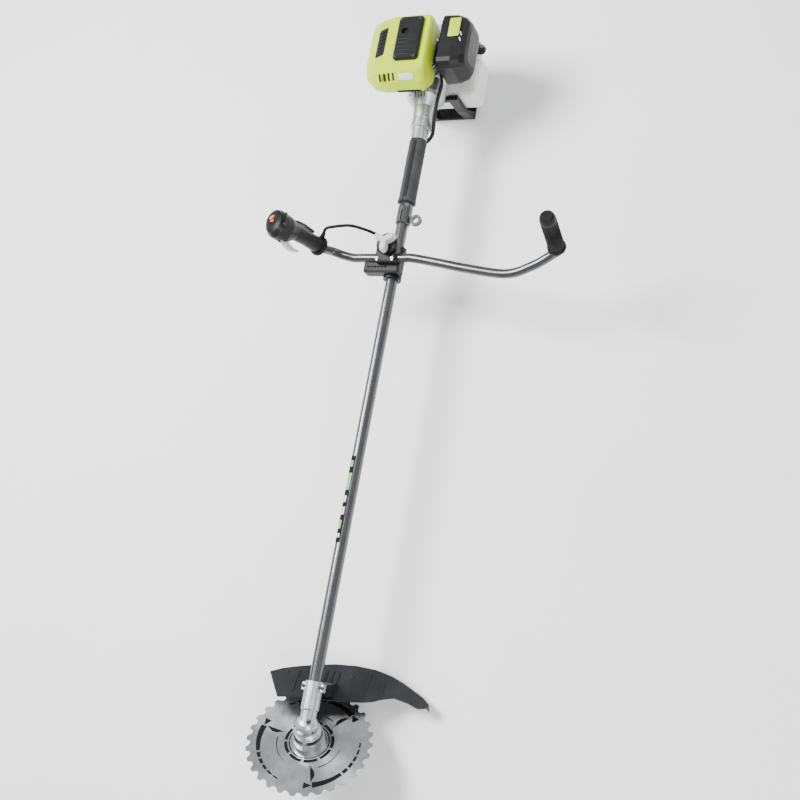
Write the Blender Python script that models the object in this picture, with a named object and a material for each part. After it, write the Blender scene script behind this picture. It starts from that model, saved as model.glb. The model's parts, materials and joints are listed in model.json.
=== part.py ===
"""A petrol brush cutter with a bike handle, lying at rest on its stand and its blade guard.

Metres. +X runs along the boom from the engine to the blade, +Y is the operator's left and +Z is up.
The origin is on the ground, in the middle of the engine stand's flat sole.
"""

import math

import bmesh
import bpy
from mathutils import Matrix, Vector

# ---- driving dimensions ----------------------------------------------------------------------
GAP = 0.0003  # left between pieces that touch
BOOM_HEIGHT = 0.160  # boom axis above the ground
BOOM_DIAMETER = 0.026
BOOM_WALL = 0.0015
BOOM_REAR = 0.162
HEAD_X = 1.471  # where the boom axis and the blade axis cross
HEAD_ANGLE = math.radians(55.5)  # between the boom axis and the blade axis
HEAD_TWIST = math.radians(12.0)  # the head is turned this far towards the operator's left
DRIVE_SHAFT_DIAMETER = 0.008

BLADE_DIAMETER = 0.255
BLADE_THICKNESS = 0.0018
BLADE_TEETH = 30
TOOTH_DEPTH = 0.0085
BLADE_DROP = 0.0541  # from the axis crossing down to the blade's upper face
BLADE_BORE = 0.0254
OUTPUT_SHAFT_DIAMETER = 0.010

PINION_TEETH = 14
GEAR_TEETH = 19
CONE_DISTANCE = 0.0158
GEAR_FACE = 0.0055

GUARD_LIFT = 0.030  # guard panel above the blade
GUARD_WALL = 0.003

BAR_X = 0.487
BAR_Z = 0.033
BAR_DIAMETER = 0.020
BAR_WALL = 0.0015
BAR_RIGHT_REACH = 0.147
BAR_LEFT_REACH = 0.386
GRIP_BASE_Z = 0.073
PLAIN_GRIP_LENGTH = 0.124
PLAIN_GRIP_DIAMETER = 0.033
THROTTLE_GRIP_LENGTH = 0.152
THROTTLE_GRIP_DIAMETER = 0.035

KNOB_SETBACK = 0.024  # clamp stud behind the bar
KNOB_DISC_DIAMETER = 0.049
STUD_DIAMETER = 0.0076

SLEEVE_START = 0.1875
SLEEVE_LENGTH = 0.1525
SLEEVE_DIAMETER = 0.039
HANGER_START = 0.349
HANGER_LENGTH = 0.044
HANGER_WALL = 0.0037
HANGER_DIAMETER = BOOM_DIAMETER + 2 * HANGER_WALL
EYELET_DIAMETER = 0.026

CABLE_DIAMETER = 0.0056

CYLINDER_X = 0.003
CYLINDER_BORE = 0.0344
FIN_DIAMETER = 0.064
FIN_COUNT = 6
CRANKCASE_DIAMETER = 0.080
CRANKCASE_REAR = -0.036
CRANKCASE_FRONT = 0.042
CRANKCASE_TOP = 0.0277
CRANK_RADIUS = 0.013
JOURNAL_DIAMETER = 0.012
FLYWHEEL_DIAMETER = 0.084
DRUM_DIAMETER = 0.060
BELL_DIAMETER = 0.084
BELL_REAR = 0.0435
NECK_OUTER = 0.0185  # the boom's socket at the front of the bell
STARTER_DIAMETER = 0.100
STARTER_FRONT = -0.062
STARTER_REAR = -0.092
PULLEY_RADIUS = 0.028

COVER_WALL = 0.0025
COVER_TOP = 0.135
FILTER_INNER = 0.0585
FILTER_OUTER = 0.120
TANK_LOW = (-0.060, -0.088, -0.116)
TANK_HIGH = (0.042, 0.096, -0.0465)
TANK_WALL = 0.0025
CAP_DIAMETER = 0.033
SOLE_THICKNESS = 0.007

# ---- derived values --------------------------------------------------------------------------
X, Y, Z = Vector((1, 0, 0)), Vector((0, 1, 0)), Vector((0, 0, 1))
BOOM_RADIUS = BOOM_DIAMETER / 2
BOOM_BORE = BOOM_RADIUS - BOOM_WALL
SHAFT_RADIUS = DRIVE_SHAFT_DIAMETER / 2
BLADE_RADIUS = BLADE_DIAMETER / 2
BAR_RADIUS = BAR_DIAMETER / 2
SOCKET_RADIUS = BOOM_RADIUS + GAP

TWISTED_UP = Vector((0, math.sin(HEAD_TWIST), math.cos(HEAD_TWIST)))
HEAD_LEFT = Vector((0, math.cos(HEAD_TWIST), -math.sin(HEAD_TWIST)))
HEAD_UP = -math.cos(HEAD_ANGLE) * X + math.sin(HEAD_ANGLE) * TWISTED_UP
HEAD_FORWARD = math.sin(HEAD_ANGLE) * X + math.cos(HEAD_ANGLE) * TWISTED_UP

SHAFT_ANGLE = math.pi - HEAD_ANGLE  # between the pinion and the gear, which lies on the blade's side
PINION_CONE = math.atan2(
    math.sin(SHAFT_ANGLE), GEAR_TEETH / PINION_TEETH + math.cos(SHAFT_ANGLE)
)
GEAR_CONE = SHAFT_ANGLE - PINION_CONE
PINION_BACK = HEAD_X - CONE_DISTANCE * math.cos(PINION_CONE)
PINION_HUB_LENGTH = 0.010
PINION_BEARING_LENGTH = 0.009
PINION_BEARING_REAR = PINION_BACK - PINION_HUB_LENGTH - PINION_BEARING_LENGTH - 2 * GAP
BOOM_FRONT = PINION_BEARING_REAR - 2 * GAP
DRUM_FRONT = 0.108


def at(x, y, z):
    """A point given from the boom axis, above the stand's middle."""
    return Vector((x, y, BOOM_HEIGHT + z))


def head(forward, left, up):
    """A point given in the gear head's own directions, from where its two axes cross."""
    return at(HEAD_X, 0, 0) + forward * HEAD_FORWARD + left * HEAD_LEFT + up * HEAD_UP


HUB = -BLADE_DROP - BLADE_THICKNESS / 2
RIGHT_BASE = at(BAR_X - 0.007, -BAR_RIGHT_REACH, GRIP_BASE_Z)
RIGHT_UP = Vector((0.012, -0.26, 0.846)).normalized()
RIGHT_FORWARD = (X - X.dot(RIGHT_UP) * RIGHT_UP).normalized()
RIGHT_SIDE = RIGHT_UP.cross(RIGHT_FORWARD)
LEFT_BASE = at(BAR_X - 0.005, BAR_LEFT_REACH, GRIP_BASE_Z)
LEFT_UP = Vector((-0.070, 0.080, 0.846)).normalized()

BRACKET_REAR = BAR_X - 0.0125
BRACKET_FRONT = BAR_X + 0.032
BRACKET_RIGHT, BRACKET_LEFT = -0.058, 0.026
CAP_HEIGHT = 0.018
DISC_THICKNESS = 0.008

# ---- finishes: colour, roughness, metallic ---------------------------------------------------
FINISHES = {
    "lime": ((0.50, 0.64, 0.03), 0.35, 0.0),
    "black": ((0.022, 0.022, 0.024), 0.5, 0.0),
    "grey": ((0.08, 0.08, 0.085), 0.55, 0.0),
    "light grey": ((0.45, 0.46, 0.45), 0.45, 0.0),
    "tube": ((0.13, 0.13, 0.135), 0.38, 0.8),
    "casting": ((0.48, 0.49, 0.50), 0.42, 0.9),
    "steel": ((0.55, 0.55, 0.56), 0.28, 1.0),
    "dark steel": ((0.10, 0.10, 0.11), 0.4, 0.9),
    "tank": ((0.75, 0.77, 0.74), 0.45, 0.0),
    "orange": ((0.60, 0.16, 0.03), 0.45, 0.0),
    "foam": ((0.05, 0.045, 0.04), 0.95, 0.0),
    "ceramic": ((0.85, 0.84, 0.80), 0.25, 0.0),
}


# ---- modelling helpers -----------------------------------------------------------------------
def clear_scene():
    for obj in list(bpy.data.objects):
        bpy.data.objects.remove(obj, do_unlink=True)


def paint(obj, finish):
    colour, roughness, metallic = FINISHES[finish]
    material = bpy.data.materials.new(obj.name)
    material.use_nodes = True
    shader = material.node_tree.nodes["Principled BSDF"]
    shader.inputs["Base Color"].default_value = (*colour, 1)
    shader.inputs["Roughness"].default_value = roughness
    shader.inputs["Metallic"].default_value = metallic
    obj.data.materials.clear()
    obj.data.materials.append(material)


def add(name, bm, finish, pivot=None):
    """One object from a bmesh. A moving piece gets its origin at pivot, a point on its joint's axis."""
    bmesh.ops.recalc_face_normals(bm, faces=bm.faces)
    mesh = bpy.data.meshes.new(name)
    bm.to_mesh(mesh)
    bm.free()
    mesh.shade_smooth()
    mesh.set_sharp_from_angle(angle=math.radians(35))
    obj = bpy.data.objects.new(name, mesh)
    bpy.context.scene.collection.objects.link(obj)
    paint(obj, finish)
    if pivot is not None:
        mesh.transform(Matrix.Translation(-pivot))
        obj.location = pivot
    return obj


def combine(obj, tool_mesh, operation, solver="EXACT"):
    """Cuts a bmesh from an object, or joins it on, with a Boolean that is then applied."""
    tool = add("tool", tool_mesh, "black")
    boolean = obj.modifiers.new("boolean", "BOOLEAN")
    boolean.operation = operation
    boolean.solver = solver
    boolean.object = tool
    bpy.context.view_layer.update()
    result = bpy.data.meshes.new_from_object(
        obj.evaluated_get(bpy.context.evaluated_depsgraph_get())
    )
    obj.modifiers.clear()
    old, material = obj.data, obj.data.materials[0]
    obj.data = result
    result.materials.clear()
    result.materials.append(material)
    bpy.data.meshes.remove(old)
    bpy.data.objects.remove(tool, do_unlink=True)
    obj.data.shade_smooth()
    obj.data.set_sharp_from_angle(angle=math.radians(35))


def cut(obj, *tools, solver="EXACT"):
    for tool in tools:
        combine(obj, tool, "DIFFERENCE", solver)


def join(obj, *tools, solver="EXACT"):
    for tool in tools:
        combine(obj, tool, "UNION", solver)


def sideways(axis):
    """Two unit vectors square to axis and to each other."""
    axis = axis.normalized()
    helper = Z if abs(axis.z) < 0.9 else Y
    u = axis.cross(helper).normalized()
    return u, axis.cross(u)


def skin(loops, ring=False):
    """A closed surface through loops of equally many points. ring joins the last loop to the first."""
    bm = bmesh.new()
    rows = [[bm.verts.new(point) for point in loop] for loop in loops]
    pairs = list(zip(rows, rows[1:]))
    if ring:
        pairs.append((rows[-1], rows[0]))
    for low, high in pairs:
        for i, j in zip(range(len(low)), [*range(1, len(low)), 0]):
            bm.faces.new((low[i], low[j], high[j], high[i]))
    if not ring:
        bm.faces.new(rows[0])
        bm.faces.new(rows[-1])
    return bm


def circle(centre, u, v, radius, count):
    turns = [2 * math.pi * i / count for i in range(count)]
    return [centre + radius * (math.cos(t) * u + math.sin(t) * v) for t in turns]


def turned(profile, base, axis, count=24, closed=False):
    """A profile of (radius, distance along axis) turned about axis. closed makes a ring of it."""
    axis = axis.normalized()
    u, v = sideways(axis)
    bm = bmesh.new()
    rows = []
    for radius, along in profile:
        centre = base + along * axis
        points = [centre] if radius == 0 else circle(centre, u, v, radius, count)
        rows.append([bm.verts.new(point) for point in points])
    pairs = list(zip(rows, rows[1:]))
    if closed:
        pairs.append((rows[-1], rows[0]))
    for low, high in pairs:
        for i in range(count):
            j = (i + 1) % count
            corners = [low[i % len(low)], low[j % len(low)], high[j % len(high)], high[i % len(high)]]
            corners = list(dict.fromkeys(corners))
            if len(corners) > 2:
                bm.faces.new(corners)
    return bm


def rod(base, axis, radius, length, count=24):
    return turned([(0, 0), (radius, 0), (radius, length), (0, length)], base, axis, count)


def ring(base, axis, inner, outer, length, count=24):
    profile = [(outer, 0), (outer, length), (inner, length), (inner, 0)]
    return turned(profile, base, axis, count, closed=True)


def block(low, high, bevel=0.0, segments=2):
    """A box between two corners, given from the boom axis, with rounded edges."""
    low, high = at(*low), at(*high)
    bm = bmesh.new()
    bmesh.ops.create_cube(bm, size=1)
    for vertex in bm.verts:
        for k in range(3):
            vertex.co[k] = (low[k] + high[k]) / 2 + vertex.co[k] * (high[k] - low[k])
    if bevel:
        bmesh.ops.bevel(
            bm, geom=bm.edges[:], offset=bevel, segments=segments, profile=0.5, affect="EDGES"
        )
    return bm


def prism(outline, base, u, v, axis, depth):
    """A flat outline in the directions u and v, pushed depth along axis."""
    first = [base + a * u + b * v for a, b in outline]
    return skin([first, [point + depth * axis for point in first]])


def rounded_rectangle(x0, x1, y0, y1, radius, first_radius=None, corner_points=4):
    """Points round a rectangle with round corners, anticlockwise from its low-y high-x corner."""
    first_radius = radius if first_radius is None else first_radius
    corners = [
        (x1, y0, -90, first_radius),
        (x1, y1, 0, radius),
        (x0, y1, 90, radius),
        (x0, y0, 180, radius),
    ]
    points = []
    for x, y, start, radius in corners:
        cx = x - math.copysign(radius, x - (x0 + x1) / 2)
        cy = y - math.copysign(radius, y - (y0 + y1) / 2)
        for i in range(corner_points):
            t = math.radians(start + 90 * i / (corner_points - 1))
            points.append((cx + radius * math.cos(t), cy + radius * math.sin(t)))
    return points


def smooth_route(points, per_span):
    """Points read evenly from a Catmull-Rom curve through the given points."""
    ends = [2 * points[0] - points[1], *points, 2 * points[-1] - points[-2]]
    route = []
    for a, b, c, d in zip(ends, ends[1:], ends[2:], ends[3:]):
        for i in range(per_span):
            t = i / per_span
            route.append(
                0.5
                * (
                    2 * b
                    + (c - a) * t
                    + (2 * a - 5 * b + 4 * c - d) * t**2
                    + (3 * b - a - 3 * c + d) * t**3
                )
            )
    return [*route, points[-1]]


def sweep_loops(route, radius, count):
    """Circles square to a route, turned as little as possible from one to the next."""
    loops = []
    u = None
    for i, point in enumerate(route):
        along = (route[min(i + 1, len(route) - 1)] - route[max(i - 1, 0)]).normalized()
        u = sideways(along)[0] if u is None else (u - u.dot(along) * along).normalized()
        loops.append(circle(point, u, along.cross(u), radius, count))
    return loops


def cable(name, route, diameter, finish):
    """A solid cord as a poly curve with filled ends."""
    curve = bpy.data.curves.new(name, "CURVE")
    curve.dimensions = "3D"
    curve.bevel_depth = diameter / 2
    curve.bevel_resolution = 2
    curve.use_fill_caps = True
    spline = curve.splines.new("POLY")
    spline.points.add(len(route) - 1)
    for target, point in zip(spline.points, route):
        target.co = (*point, 1)
    obj = bpy.data.objects.new(name, curve)
    bpy.context.scene.collection.objects.link(obj)
    paint(obj, finish)
    return obj


# ---- boom and drive shaft --------------------------------------------------------------------
def make_boom():
    length = BOOM_FRONT - BOOM_REAR
    add("boom_tube", ring(at(BOOM_REAR, 0, 0), X, BOOM_BORE, BOOM_RADIUS, length, 32), "tube")


def make_drive_shaft():
    start = DRUM_FRONT + GAP
    end = PINION_BACK - PINION_HUB_LENGTH - GAP
    shaft = rod(at(start, 0, 0), X, SHAFT_RADIUS, end - start, 16)
    add("drive_shaft", shaft, "steel", at(start, 0, 0))


def make_shaft_bushes(count=3, length=0.030):
    """Bushes spaced evenly along the tube, which keep the long drive shaft from whipping."""
    span = BOOM_FRONT - BOOM_REAR
    for i in range(count):
        start = BOOM_REAR + span * (i + 1) / (count + 1) - length / 2
        bush = ring(at(start, 0, 0), X, SHAFT_RADIUS + GAP, BOOM_BORE - GAP, length, 24)
        add(f"shaft_bush_{i + 1}", bush, "black")


def make_hip_sleeve(groove_width=0.0072, seam_width=0.006, seam_depth=0.002):
    """A soft sleeve round the boom, with a seam along its top and a cable groove underneath."""
    base = at(SLEEVE_START, 0, 0)
    radius = SLEEVE_DIAMETER / 2
    lip = 0.004
    profile = [
        (radius - 0.002, 0),
        (radius, 0.002),
        (radius, SLEEVE_LENGTH - lip),
        (radius + 0.0012, SLEEVE_LENGTH - lip),
        (radius + 0.0012, SLEEVE_LENGTH),
        (SOCKET_RADIUS, SLEEVE_LENGTH),
        (SOCKET_RADIUS, 0),
    ]
    sleeve = add("hip_sleeve", turned(profile, base, X, closed=True), "grey")
    low, high = SLEEVE_START - 0.01, SLEEVE_START + SLEEVE_LENGTH + 0.01
    side, top = groove_width / 2, radius - seam_depth
    cut(
        sleeve,
        block((low, -side, -radius - 0.01), (high, side, -SOCKET_RADIUS + 0.002)),
        block((low, -seam_width / 2, top), (high, seam_width / 2, radius + 0.01)),
    )


def make_hanger(slot=0.003, screw=0.005):
    """The harness clamp: a split ring on the boom with a round eyelet at the operator's left."""
    base = at(HANGER_START, 0, 0)
    outer = HANGER_DIAMETER / 2
    profile = [
        (BOOM_RADIUS + 0.0012, -0.008),
        (outer, 0.004),
        (outer, HANGER_LENGTH - 0.002),
        (outer - 0.002, HANGER_LENGTH),
        (SOCKET_RADIUS, HANGER_LENGTH),
        (SOCKET_RADIUS, -0.008),
    ]
    clamp = add("hanger_clamp", turned(profile, base, X, closed=True), "tube")
    start = HANGER_START + 0.014
    cut(clamp, block((start, -slot / 2, 0.005), (start + 0.060, slot / 2, 0.030)))
    eye = at(HANGER_START + 0.033, outer + EYELET_DIAMETER / 2 + GAP, 0)
    eyelet = ring(eye - 0.004 * Z, Z, EYELET_DIAMETER / 2 - 0.006, EYELET_DIAMETER / 2, 0.008, 24)
    add("hanger_eyelet", eyelet, "dark steel")


# ---- handle ----------------------------------------------------------------------------------
def bar_route():
    """The handlebar's centre line, from the end inside the right grip to the end inside the left."""
    low = BAR_Z
    rise = GRIP_BASE_Z - BAR_Z
    bends = [
        at(BAR_X - 0.011, -BAR_RIGHT_REACH + 0.013, low + 0.24 * rise),
        at(BAR_X - 0.006, -BAR_RIGHT_REACH + 0.036, low + 0.01 * rise),
        at(BAR_X, BRACKET_RIGHT - 0.026, low),
        at(BAR_X, BRACKET_RIGHT - 0.002, low),
        at(BAR_X, BRACKET_LEFT + 0.004, low),
        at(BAR_X, BRACKET_LEFT + 0.030, low),
        at(BAR_X + 0.010, 0.115, low),
        at(BAR_X + 0.024, 0.190, low),
        at(BAR_X + 0.034, BAR_LEFT_REACH - 0.112, low + 0.02 * rise),
        at(BAR_X + 0.020, BAR_LEFT_REACH - 0.056, low + 0.26 * rise),
        at(BAR_X + 0.002, BAR_LEFT_REACH - 0.018, low + 0.50 * rise),
    ]
    right = [RIGHT_BASE + up * RIGHT_UP for up in (0.098, 0.050, 0.002, -0.010)]
    left = [LEFT_BASE + up * LEFT_UP for up in (-0.010, 0.002, 0.050, 0.098)]
    return right + bends + left


def make_handlebar():
    route = smooth_route(bar_route(), 1)
    outer = sweep_loops(route, BAR_RADIUS, 12)
    inner = sweep_loops(route, BAR_RADIUS - BAR_WALL, 12)
    bar = skin(outer + inner[::-1], ring=True)
    add("handlebar", bar, "tube", at(BAR_X, 0, BAR_Z))


def make_plain_grip():
    """A moulded rubber grip with a flange at its foot and a rounded end."""
    outer, bore = PLAIN_GRIP_DIAMETER / 2, BAR_RADIUS + GAP
    end = PLAIN_GRIP_LENGTH
    profile = [
        (0, 0.0985),
        (bore, 0.0985),
        (bore, 0),
        (outer + 0.003, 0),
        (outer + 0.003, 0.005),
        (outer, 0.008),
        (outer - 0.001, end * 0.5),
        (outer, end - 0.012),
        (outer - 0.002, end - 0.004),
        (outer - 0.006, end),
        (0, end),
    ]
    grip = turned(profile, LEFT_BASE + 0.003 * LEFT_UP, LEFT_UP, 24)
    add("plain_grip", grip, "black", LEFT_BASE)


def grip_point(forward, side, up):
    """A point in the throttle grip's own directions, from its foot."""
    return RIGHT_BASE + forward * RIGHT_FORWARD + side * RIGHT_SIDE + up * RIGHT_UP


def grip_box(low, high):
    """A box in the throttle grip's own directions."""
    corners = [(low[0], low[1]), (high[0], low[1]), (high[0], high[1]), (low[0], high[1])]
    base = grip_point(0, 0, low[2])
    return prism(corners, base, RIGHT_FORWARD, RIGHT_SIDE, RIGHT_UP, high[2] - low[2])


TRIGGER_WIDTH = 0.011
TRIGGER_PIVOT = (0.024, 0.116)  # forward, up
LOCKOUT_WIDTH = 0.013
LOCKOUT_PIVOT = (-0.0175, 0.094)
SWITCH_TRAVEL = 0.004
SWITCH_TOP = THROTTLE_GRIP_LENGTH + 0.003


def make_throttle_housing():
    """The right grip and the throttle case above it, in one moulding that slides over the bar."""
    grip = THROTTLE_GRIP_DIAMETER / 2
    top = THROTTLE_GRIP_LENGTH
    # up, forward shift, half width forward, half width sideways
    sections = [
        (0.003, 0.0, grip + 0.004, grip + 0.004),
        (0.010, 0.0, grip + 0.004, grip + 0.004),
        (0.014, 0.0, grip, grip),
        (0.050, 0.0, grip - 0.001, grip - 0.001),
        (0.084, 0.001, grip, grip),
        (0.096, 0.004, grip + 0.008, grip + 0.003),
        (0.112, 0.007, 0.031, 0.026),
        (top - 0.014, 0.006, 0.031, 0.027),
        (top - 0.004, 0.004, 0.026, 0.023),
        (top, 0.003, 0.018, 0.016),
    ]
    loops = []
    for up, shift, wide, deep in sections:
        turns = [2 * math.pi * i / 24 for i in range(24)]
        loops.append(
            [grip_point(shift + wide * math.cos(t), deep * math.sin(t), up) for t in turns]
        )
    housing = add("throttle_housing", skin(loops), "black", at(BAR_X, 0, BAR_Z))
    housing.location = (0, 0, 0)
    housing.data.transform(Matrix.Translation(at(BAR_X, 0, BAR_Z)))
    half, lock = TRIGGER_WIDTH / 2 + 0.001, LOCKOUT_WIDTH / 2 + 0.001
    cut(
        housing,
        rod(grip_point(0, 0, -0.01), RIGHT_UP, BAR_RADIUS + GAP, 0.111, 20),
        grip_box((0.0125, -half, 0.085), (0.060, half, 0.1225)),
        grip_box((-0.060, -lock, 0.028), (-0.0125, lock, 0.1005)),
        grip_box((-0.008, -0.005, top - 0.0015), (0.012, 0.005, top + 0.010)),
    )
    pivot = at(BAR_X, 0, BAR_Z)
    housing.data.transform(Matrix.Translation(-pivot))
    housing.location = pivot


def make_throttle_trigger():
    """The finger lever, hinged in the case and hanging down in front of the grip."""
    forward, up = TRIGGER_PIVOT
    outline = [
        (forward - 0.0045, up + 0.003),
        (forward, up + 0.005),
        (forward + 0.006, up + 0.002),
        (forward + 0.018, up - 0.012),
        (forward + 0.021, up - 0.030),
        (forward + 0.017, up - 0.048),
        (forward + 0.013, up - 0.050),
        (forward + 0.014, up - 0.034),
        (forward + 0.010, up - 0.020),
        (forward - 0.002, up - 0.006),
    ]
    start = grip_point(0, -TRIGGER_WIDTH / 2, 0)
    lever = prism(outline, start, RIGHT_FORWARD, RIGHT_UP, RIGHT_SIDE, TRIGGER_WIDTH)
    add("throttle_trigger", lever, "light grey", grip_point(forward, 0, up))


def make_lockout_lever():
    """The palm lever behind the grip, which has to be pressed before the trigger moves."""
    forward, up = LOCKOUT_PIVOT
    outline = [
        (forward + 0.0030, up + 0.003),
        (forward - 0.0030, up + 0.004),
        (forward - 0.0065, up - 0.008),
        (forward - 0.0085, up - 0.030),
        (forward - 0.0055, up - 0.058),
        (forward - 0.0015, up - 0.061),
        (forward - 0.0030, up - 0.030),
        (forward - 0.0015, up - 0.010),
        (forward + 0.0015, up - 0.004),
    ]
    start = grip_point(0, -LOCKOUT_WIDTH / 2, 0)
    lever = prism(outline, start, RIGHT_FORWARD, RIGHT_UP, RIGHT_SIDE, LOCKOUT_WIDTH)
    add("lockout_lever", lever, "grey", grip_point(forward, 0, up))


def make_stop_switch():
    base = THROTTLE_GRIP_LENGTH - 0.0015 + GAP
    slider = grip_box((-0.0072, -0.0044, base), (0.0072, 0.0044, base + 0.0016))
    switch = add("stop_switch", slider, "orange")
    join(switch, grip_box((-0.0030, -0.0044, base + 0.0008), (0.0030, 0.0044, SWITCH_TOP + 0.001)))
    pivot = grip_point(0, 0, base)
    switch.data.transform(Matrix.Translation(-pivot))
    switch.location = pivot


def make_handle_bracket():
    """The lower clamp block, which holds the boom below and half of the bar above."""
    bracket = add(
        "handle_bracket",
        block(
            (BRACKET_REAR, BRACKET_RIGHT, 0.004),
            (BRACKET_FRONT, BRACKET_LEFT, BAR_Z - GAP),
            0.004,
        ),
        "black",
    )
    boss = BOOM_RADIUS + 0.007
    knob_x = BAR_X - KNOB_SETBACK
    start = knob_x - 0.013
    length = BRACKET_FRONT + 0.006 - start
    join(
        bracket,
        rod(at(start, 0, 0), X, boss, length),
        block((start + 0.0005, -0.0150, 0.004), (BAR_X, 0.0150, BAR_Z - 2 * GAP), 0.003),
        solver="MANIFOLD",
    )
    cut(
        bracket,
        rod(at(start - 0.01, 0, 0), X, SOCKET_RADIUS, length + 0.03, 32),
        rod(at(BAR_X, -0.1, BAR_Z), Y, BAR_RADIUS + GAP, 0.2, 24),
        rod(at(knob_x, 0, 0.0135), Z, STUD_DIAMETER / 2 + GAP, 0.05, 16),
        solver="MANIFOLD",
    )


def make_bracket_cap():
    """The upper clamp half over the bar, with the round seat under the knob."""
    top = BAR_Z + CAP_HEIGHT
    cap = add(
        "bracket_cap",
        block(
            (BAR_X - KNOB_SETBACK - 0.012, -0.026, BAR_Z + GAP),
            (BAR_X + 0.015, 0.022, top),
            0.003,
        ),
        "black",
    )
    knob_x = BAR_X - KNOB_SETBACK
    disc = KNOB_DISC_DIAMETER / 2
    seat = [(0, top - 0.003), (disc, top - 0.003), (disc, top + DISC_THICKNESS - 0.002)]
    seat += [(disc - 0.003, top + DISC_THICKNESS), (0, top + DISC_THICKNESS)]
    join(cap, turned(seat, at(knob_x, 0, 0), Z, 28))
    cut(
        cap,
        rod(at(BAR_X, -0.1, BAR_Z), Y, BAR_RADIUS + GAP, 0.2, 24),
        rod(at(knob_x, 0, 0), Z, STUD_DIAMETER / 2 + GAP, 0.1, 16),
    )


def make_wing_knob(count=48, hub=0.0080, wing=0.0185):
    """A three-winged knob on a stud that draws the two clamp halves together."""
    x = BAR_X - KNOB_SETBACK
    foot = BAR_Z + CAP_HEIGHT + DISC_THICKNESS + GAP
    stud_end = 0.0165
    stud = STUD_DIAMETER / 2

    def lobes(height, size):
        points = []
        for i in range(count):
            t = 2 * math.pi * i / count
            reach = size * (hub + wing * (0.5 + 0.5 * math.cos(3 * t)) ** 1.6)
            points.append(at(x + reach * math.cos(t), reach * math.sin(t), height))
        return points

    loops = [
        circle(at(x, 0, stud_end), X, Y, stud, count),
        circle(at(x, 0, foot), X, Y, stud, count),
        lobes(foot + 0.0001, 0.85),
        lobes(foot + 0.004, 1.0),
        lobes(foot + 0.016, 1.0),
        lobes(foot + 0.019, 0.85),
    ]
    add("wing_knob", skin(loops), "light grey", at(x, 0, foot))


def cable_route():
    """The throttle cable: up out of the grip, over to the boom, under the sleeve, on to the carburettor."""
    low = -(BOOM_RADIUS + CABLE_DIAMETER / 2 + 0.0012)
    lower = -(HANGER_DIAMETER / 2 + CABLE_DIAMETER / 2 + 0.0012)
    start = grip_point(-THROTTLE_GRIP_DIAMETER / 2 - 0.0005, 0.0145, 0.016)
    bell = BELL_DIAMETER / 2 + 0.006
    neck = NECK_OUTER + CABLE_DIAMETER / 2 + 0.0012
    hanger_end = HANGER_START + HANGER_LENGTH
    return [
        start,
        start + Vector((-0.012, 0.010, 0.010)),
        at(0.446, -0.108, 0.104),
        at(0.437, -0.078, 0.090),
        at(0.434, -0.053, 0.062),
        at(0.430, -0.036, 0.026),
        at(0.422, -0.020, -0.004),
        at(0.414, -0.007, lower + 0.001),
        at(hanger_end + 0.004, 0, lower),
        at(HANGER_START + 0.010, 0, lower),
        at(HANGER_START - 0.008, 0, low - 0.002),
        at(SLEEVE_START + SLEEVE_LENGTH - 0.012, 0, low),
        at(SLEEVE_START + 0.080, 0, low),
        at(SLEEVE_START + 0.040, 0, low),
        at(SLEEVE_START + 0.016, 0, low - 0.001),
        at(SLEEVE_START - 0.002, 0.0005, -neck),
        at(0.176, 0.0135, -neck + 0.0035),
        at(0.164, 0.0240, -0.0135),
        at(0.150, 0.0300, 0.000),
        at(0.128, 0.0350, 0.016),
        at(0.100, bell - 0.006, 0.030),
        at(0.074, 0.0525, 0.044),
        at(0.054, 0.0520, 0.0555),
        at(0.034, 0.0510, 0.060),
    ]


def make_throttle_cable():
    cable("throttle_cable", smooth_route(cable_route(), 2), CABLE_DIAMETER, "black")


# ---- gear head -------------------------------------------------------------------------------
CASE_RADIUS = 0.0225
CASE_BORE = 0.0172
CASE_FOOT = -0.0235
COLLAR_REAR = HEAD_X - 0.083
COLLAR_RADIUS = BOOM_RADIUS + 0.0052
NECK_RADIUS_FRONT = 0.0162
GEAR_HUB_END = 0.0105
HEAD_BEARING_LENGTH = 0.0055


def make_gear_case():
    """The die-cast gear case: a clamp collar on the boom, a neck, and the housing of both gears."""
    body = [
        (0, 0.0150),
        (0.0080, 0.0146),
        (0.0150, 0.0118),
        (0.0200, 0.0065),
        (CASE_RADIUS, 0.0005),
        (CASE_RADIUS, -0.011),
        (0.026, -0.015),
        (0.026, CASE_FOOT),
        (0, CASE_FOOT),
    ]
    case = add("gear_case", turned(body, head(0, 0, 0), HEAD_UP, 24), "casting")
    collar = [
        (0, COLLAR_REAR),
        (COLLAR_RADIUS, COLLAR_REAR),
        (COLLAR_RADIUS, BOOM_FRONT + 0.002),
        (NECK_RADIUS_FRONT, BOOM_FRONT + 0.005),
        (NECK_RADIUS_FRONT, HEAD_X - 0.004),
        (0, HEAD_X - 0.004),
    ]
    ears = COLLAR_RADIUS + 0.006
    join(
        case,
        turned(collar, at(0, 0, 0), X, 24),
        block((COLLAR_REAR + 0.003, -ears, -0.006), (COLLAR_REAR + 0.019, ears, 0.006), 0.001, 1),
        solver="MANIFOLD",
    )
    cut(
        case,
        rod(at(COLLAR_REAR - 0.01, 0, 0), X, SOCKET_RADIUS, HEAD_X - COLLAR_REAR + 0.012, 32),
        rod(head(0, 0, CASE_FOOT - 0.01), HEAD_UP, CASE_BORE, 0.012 - CASE_FOOT, 32),
        solver="MANIFOLD",
    )


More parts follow.
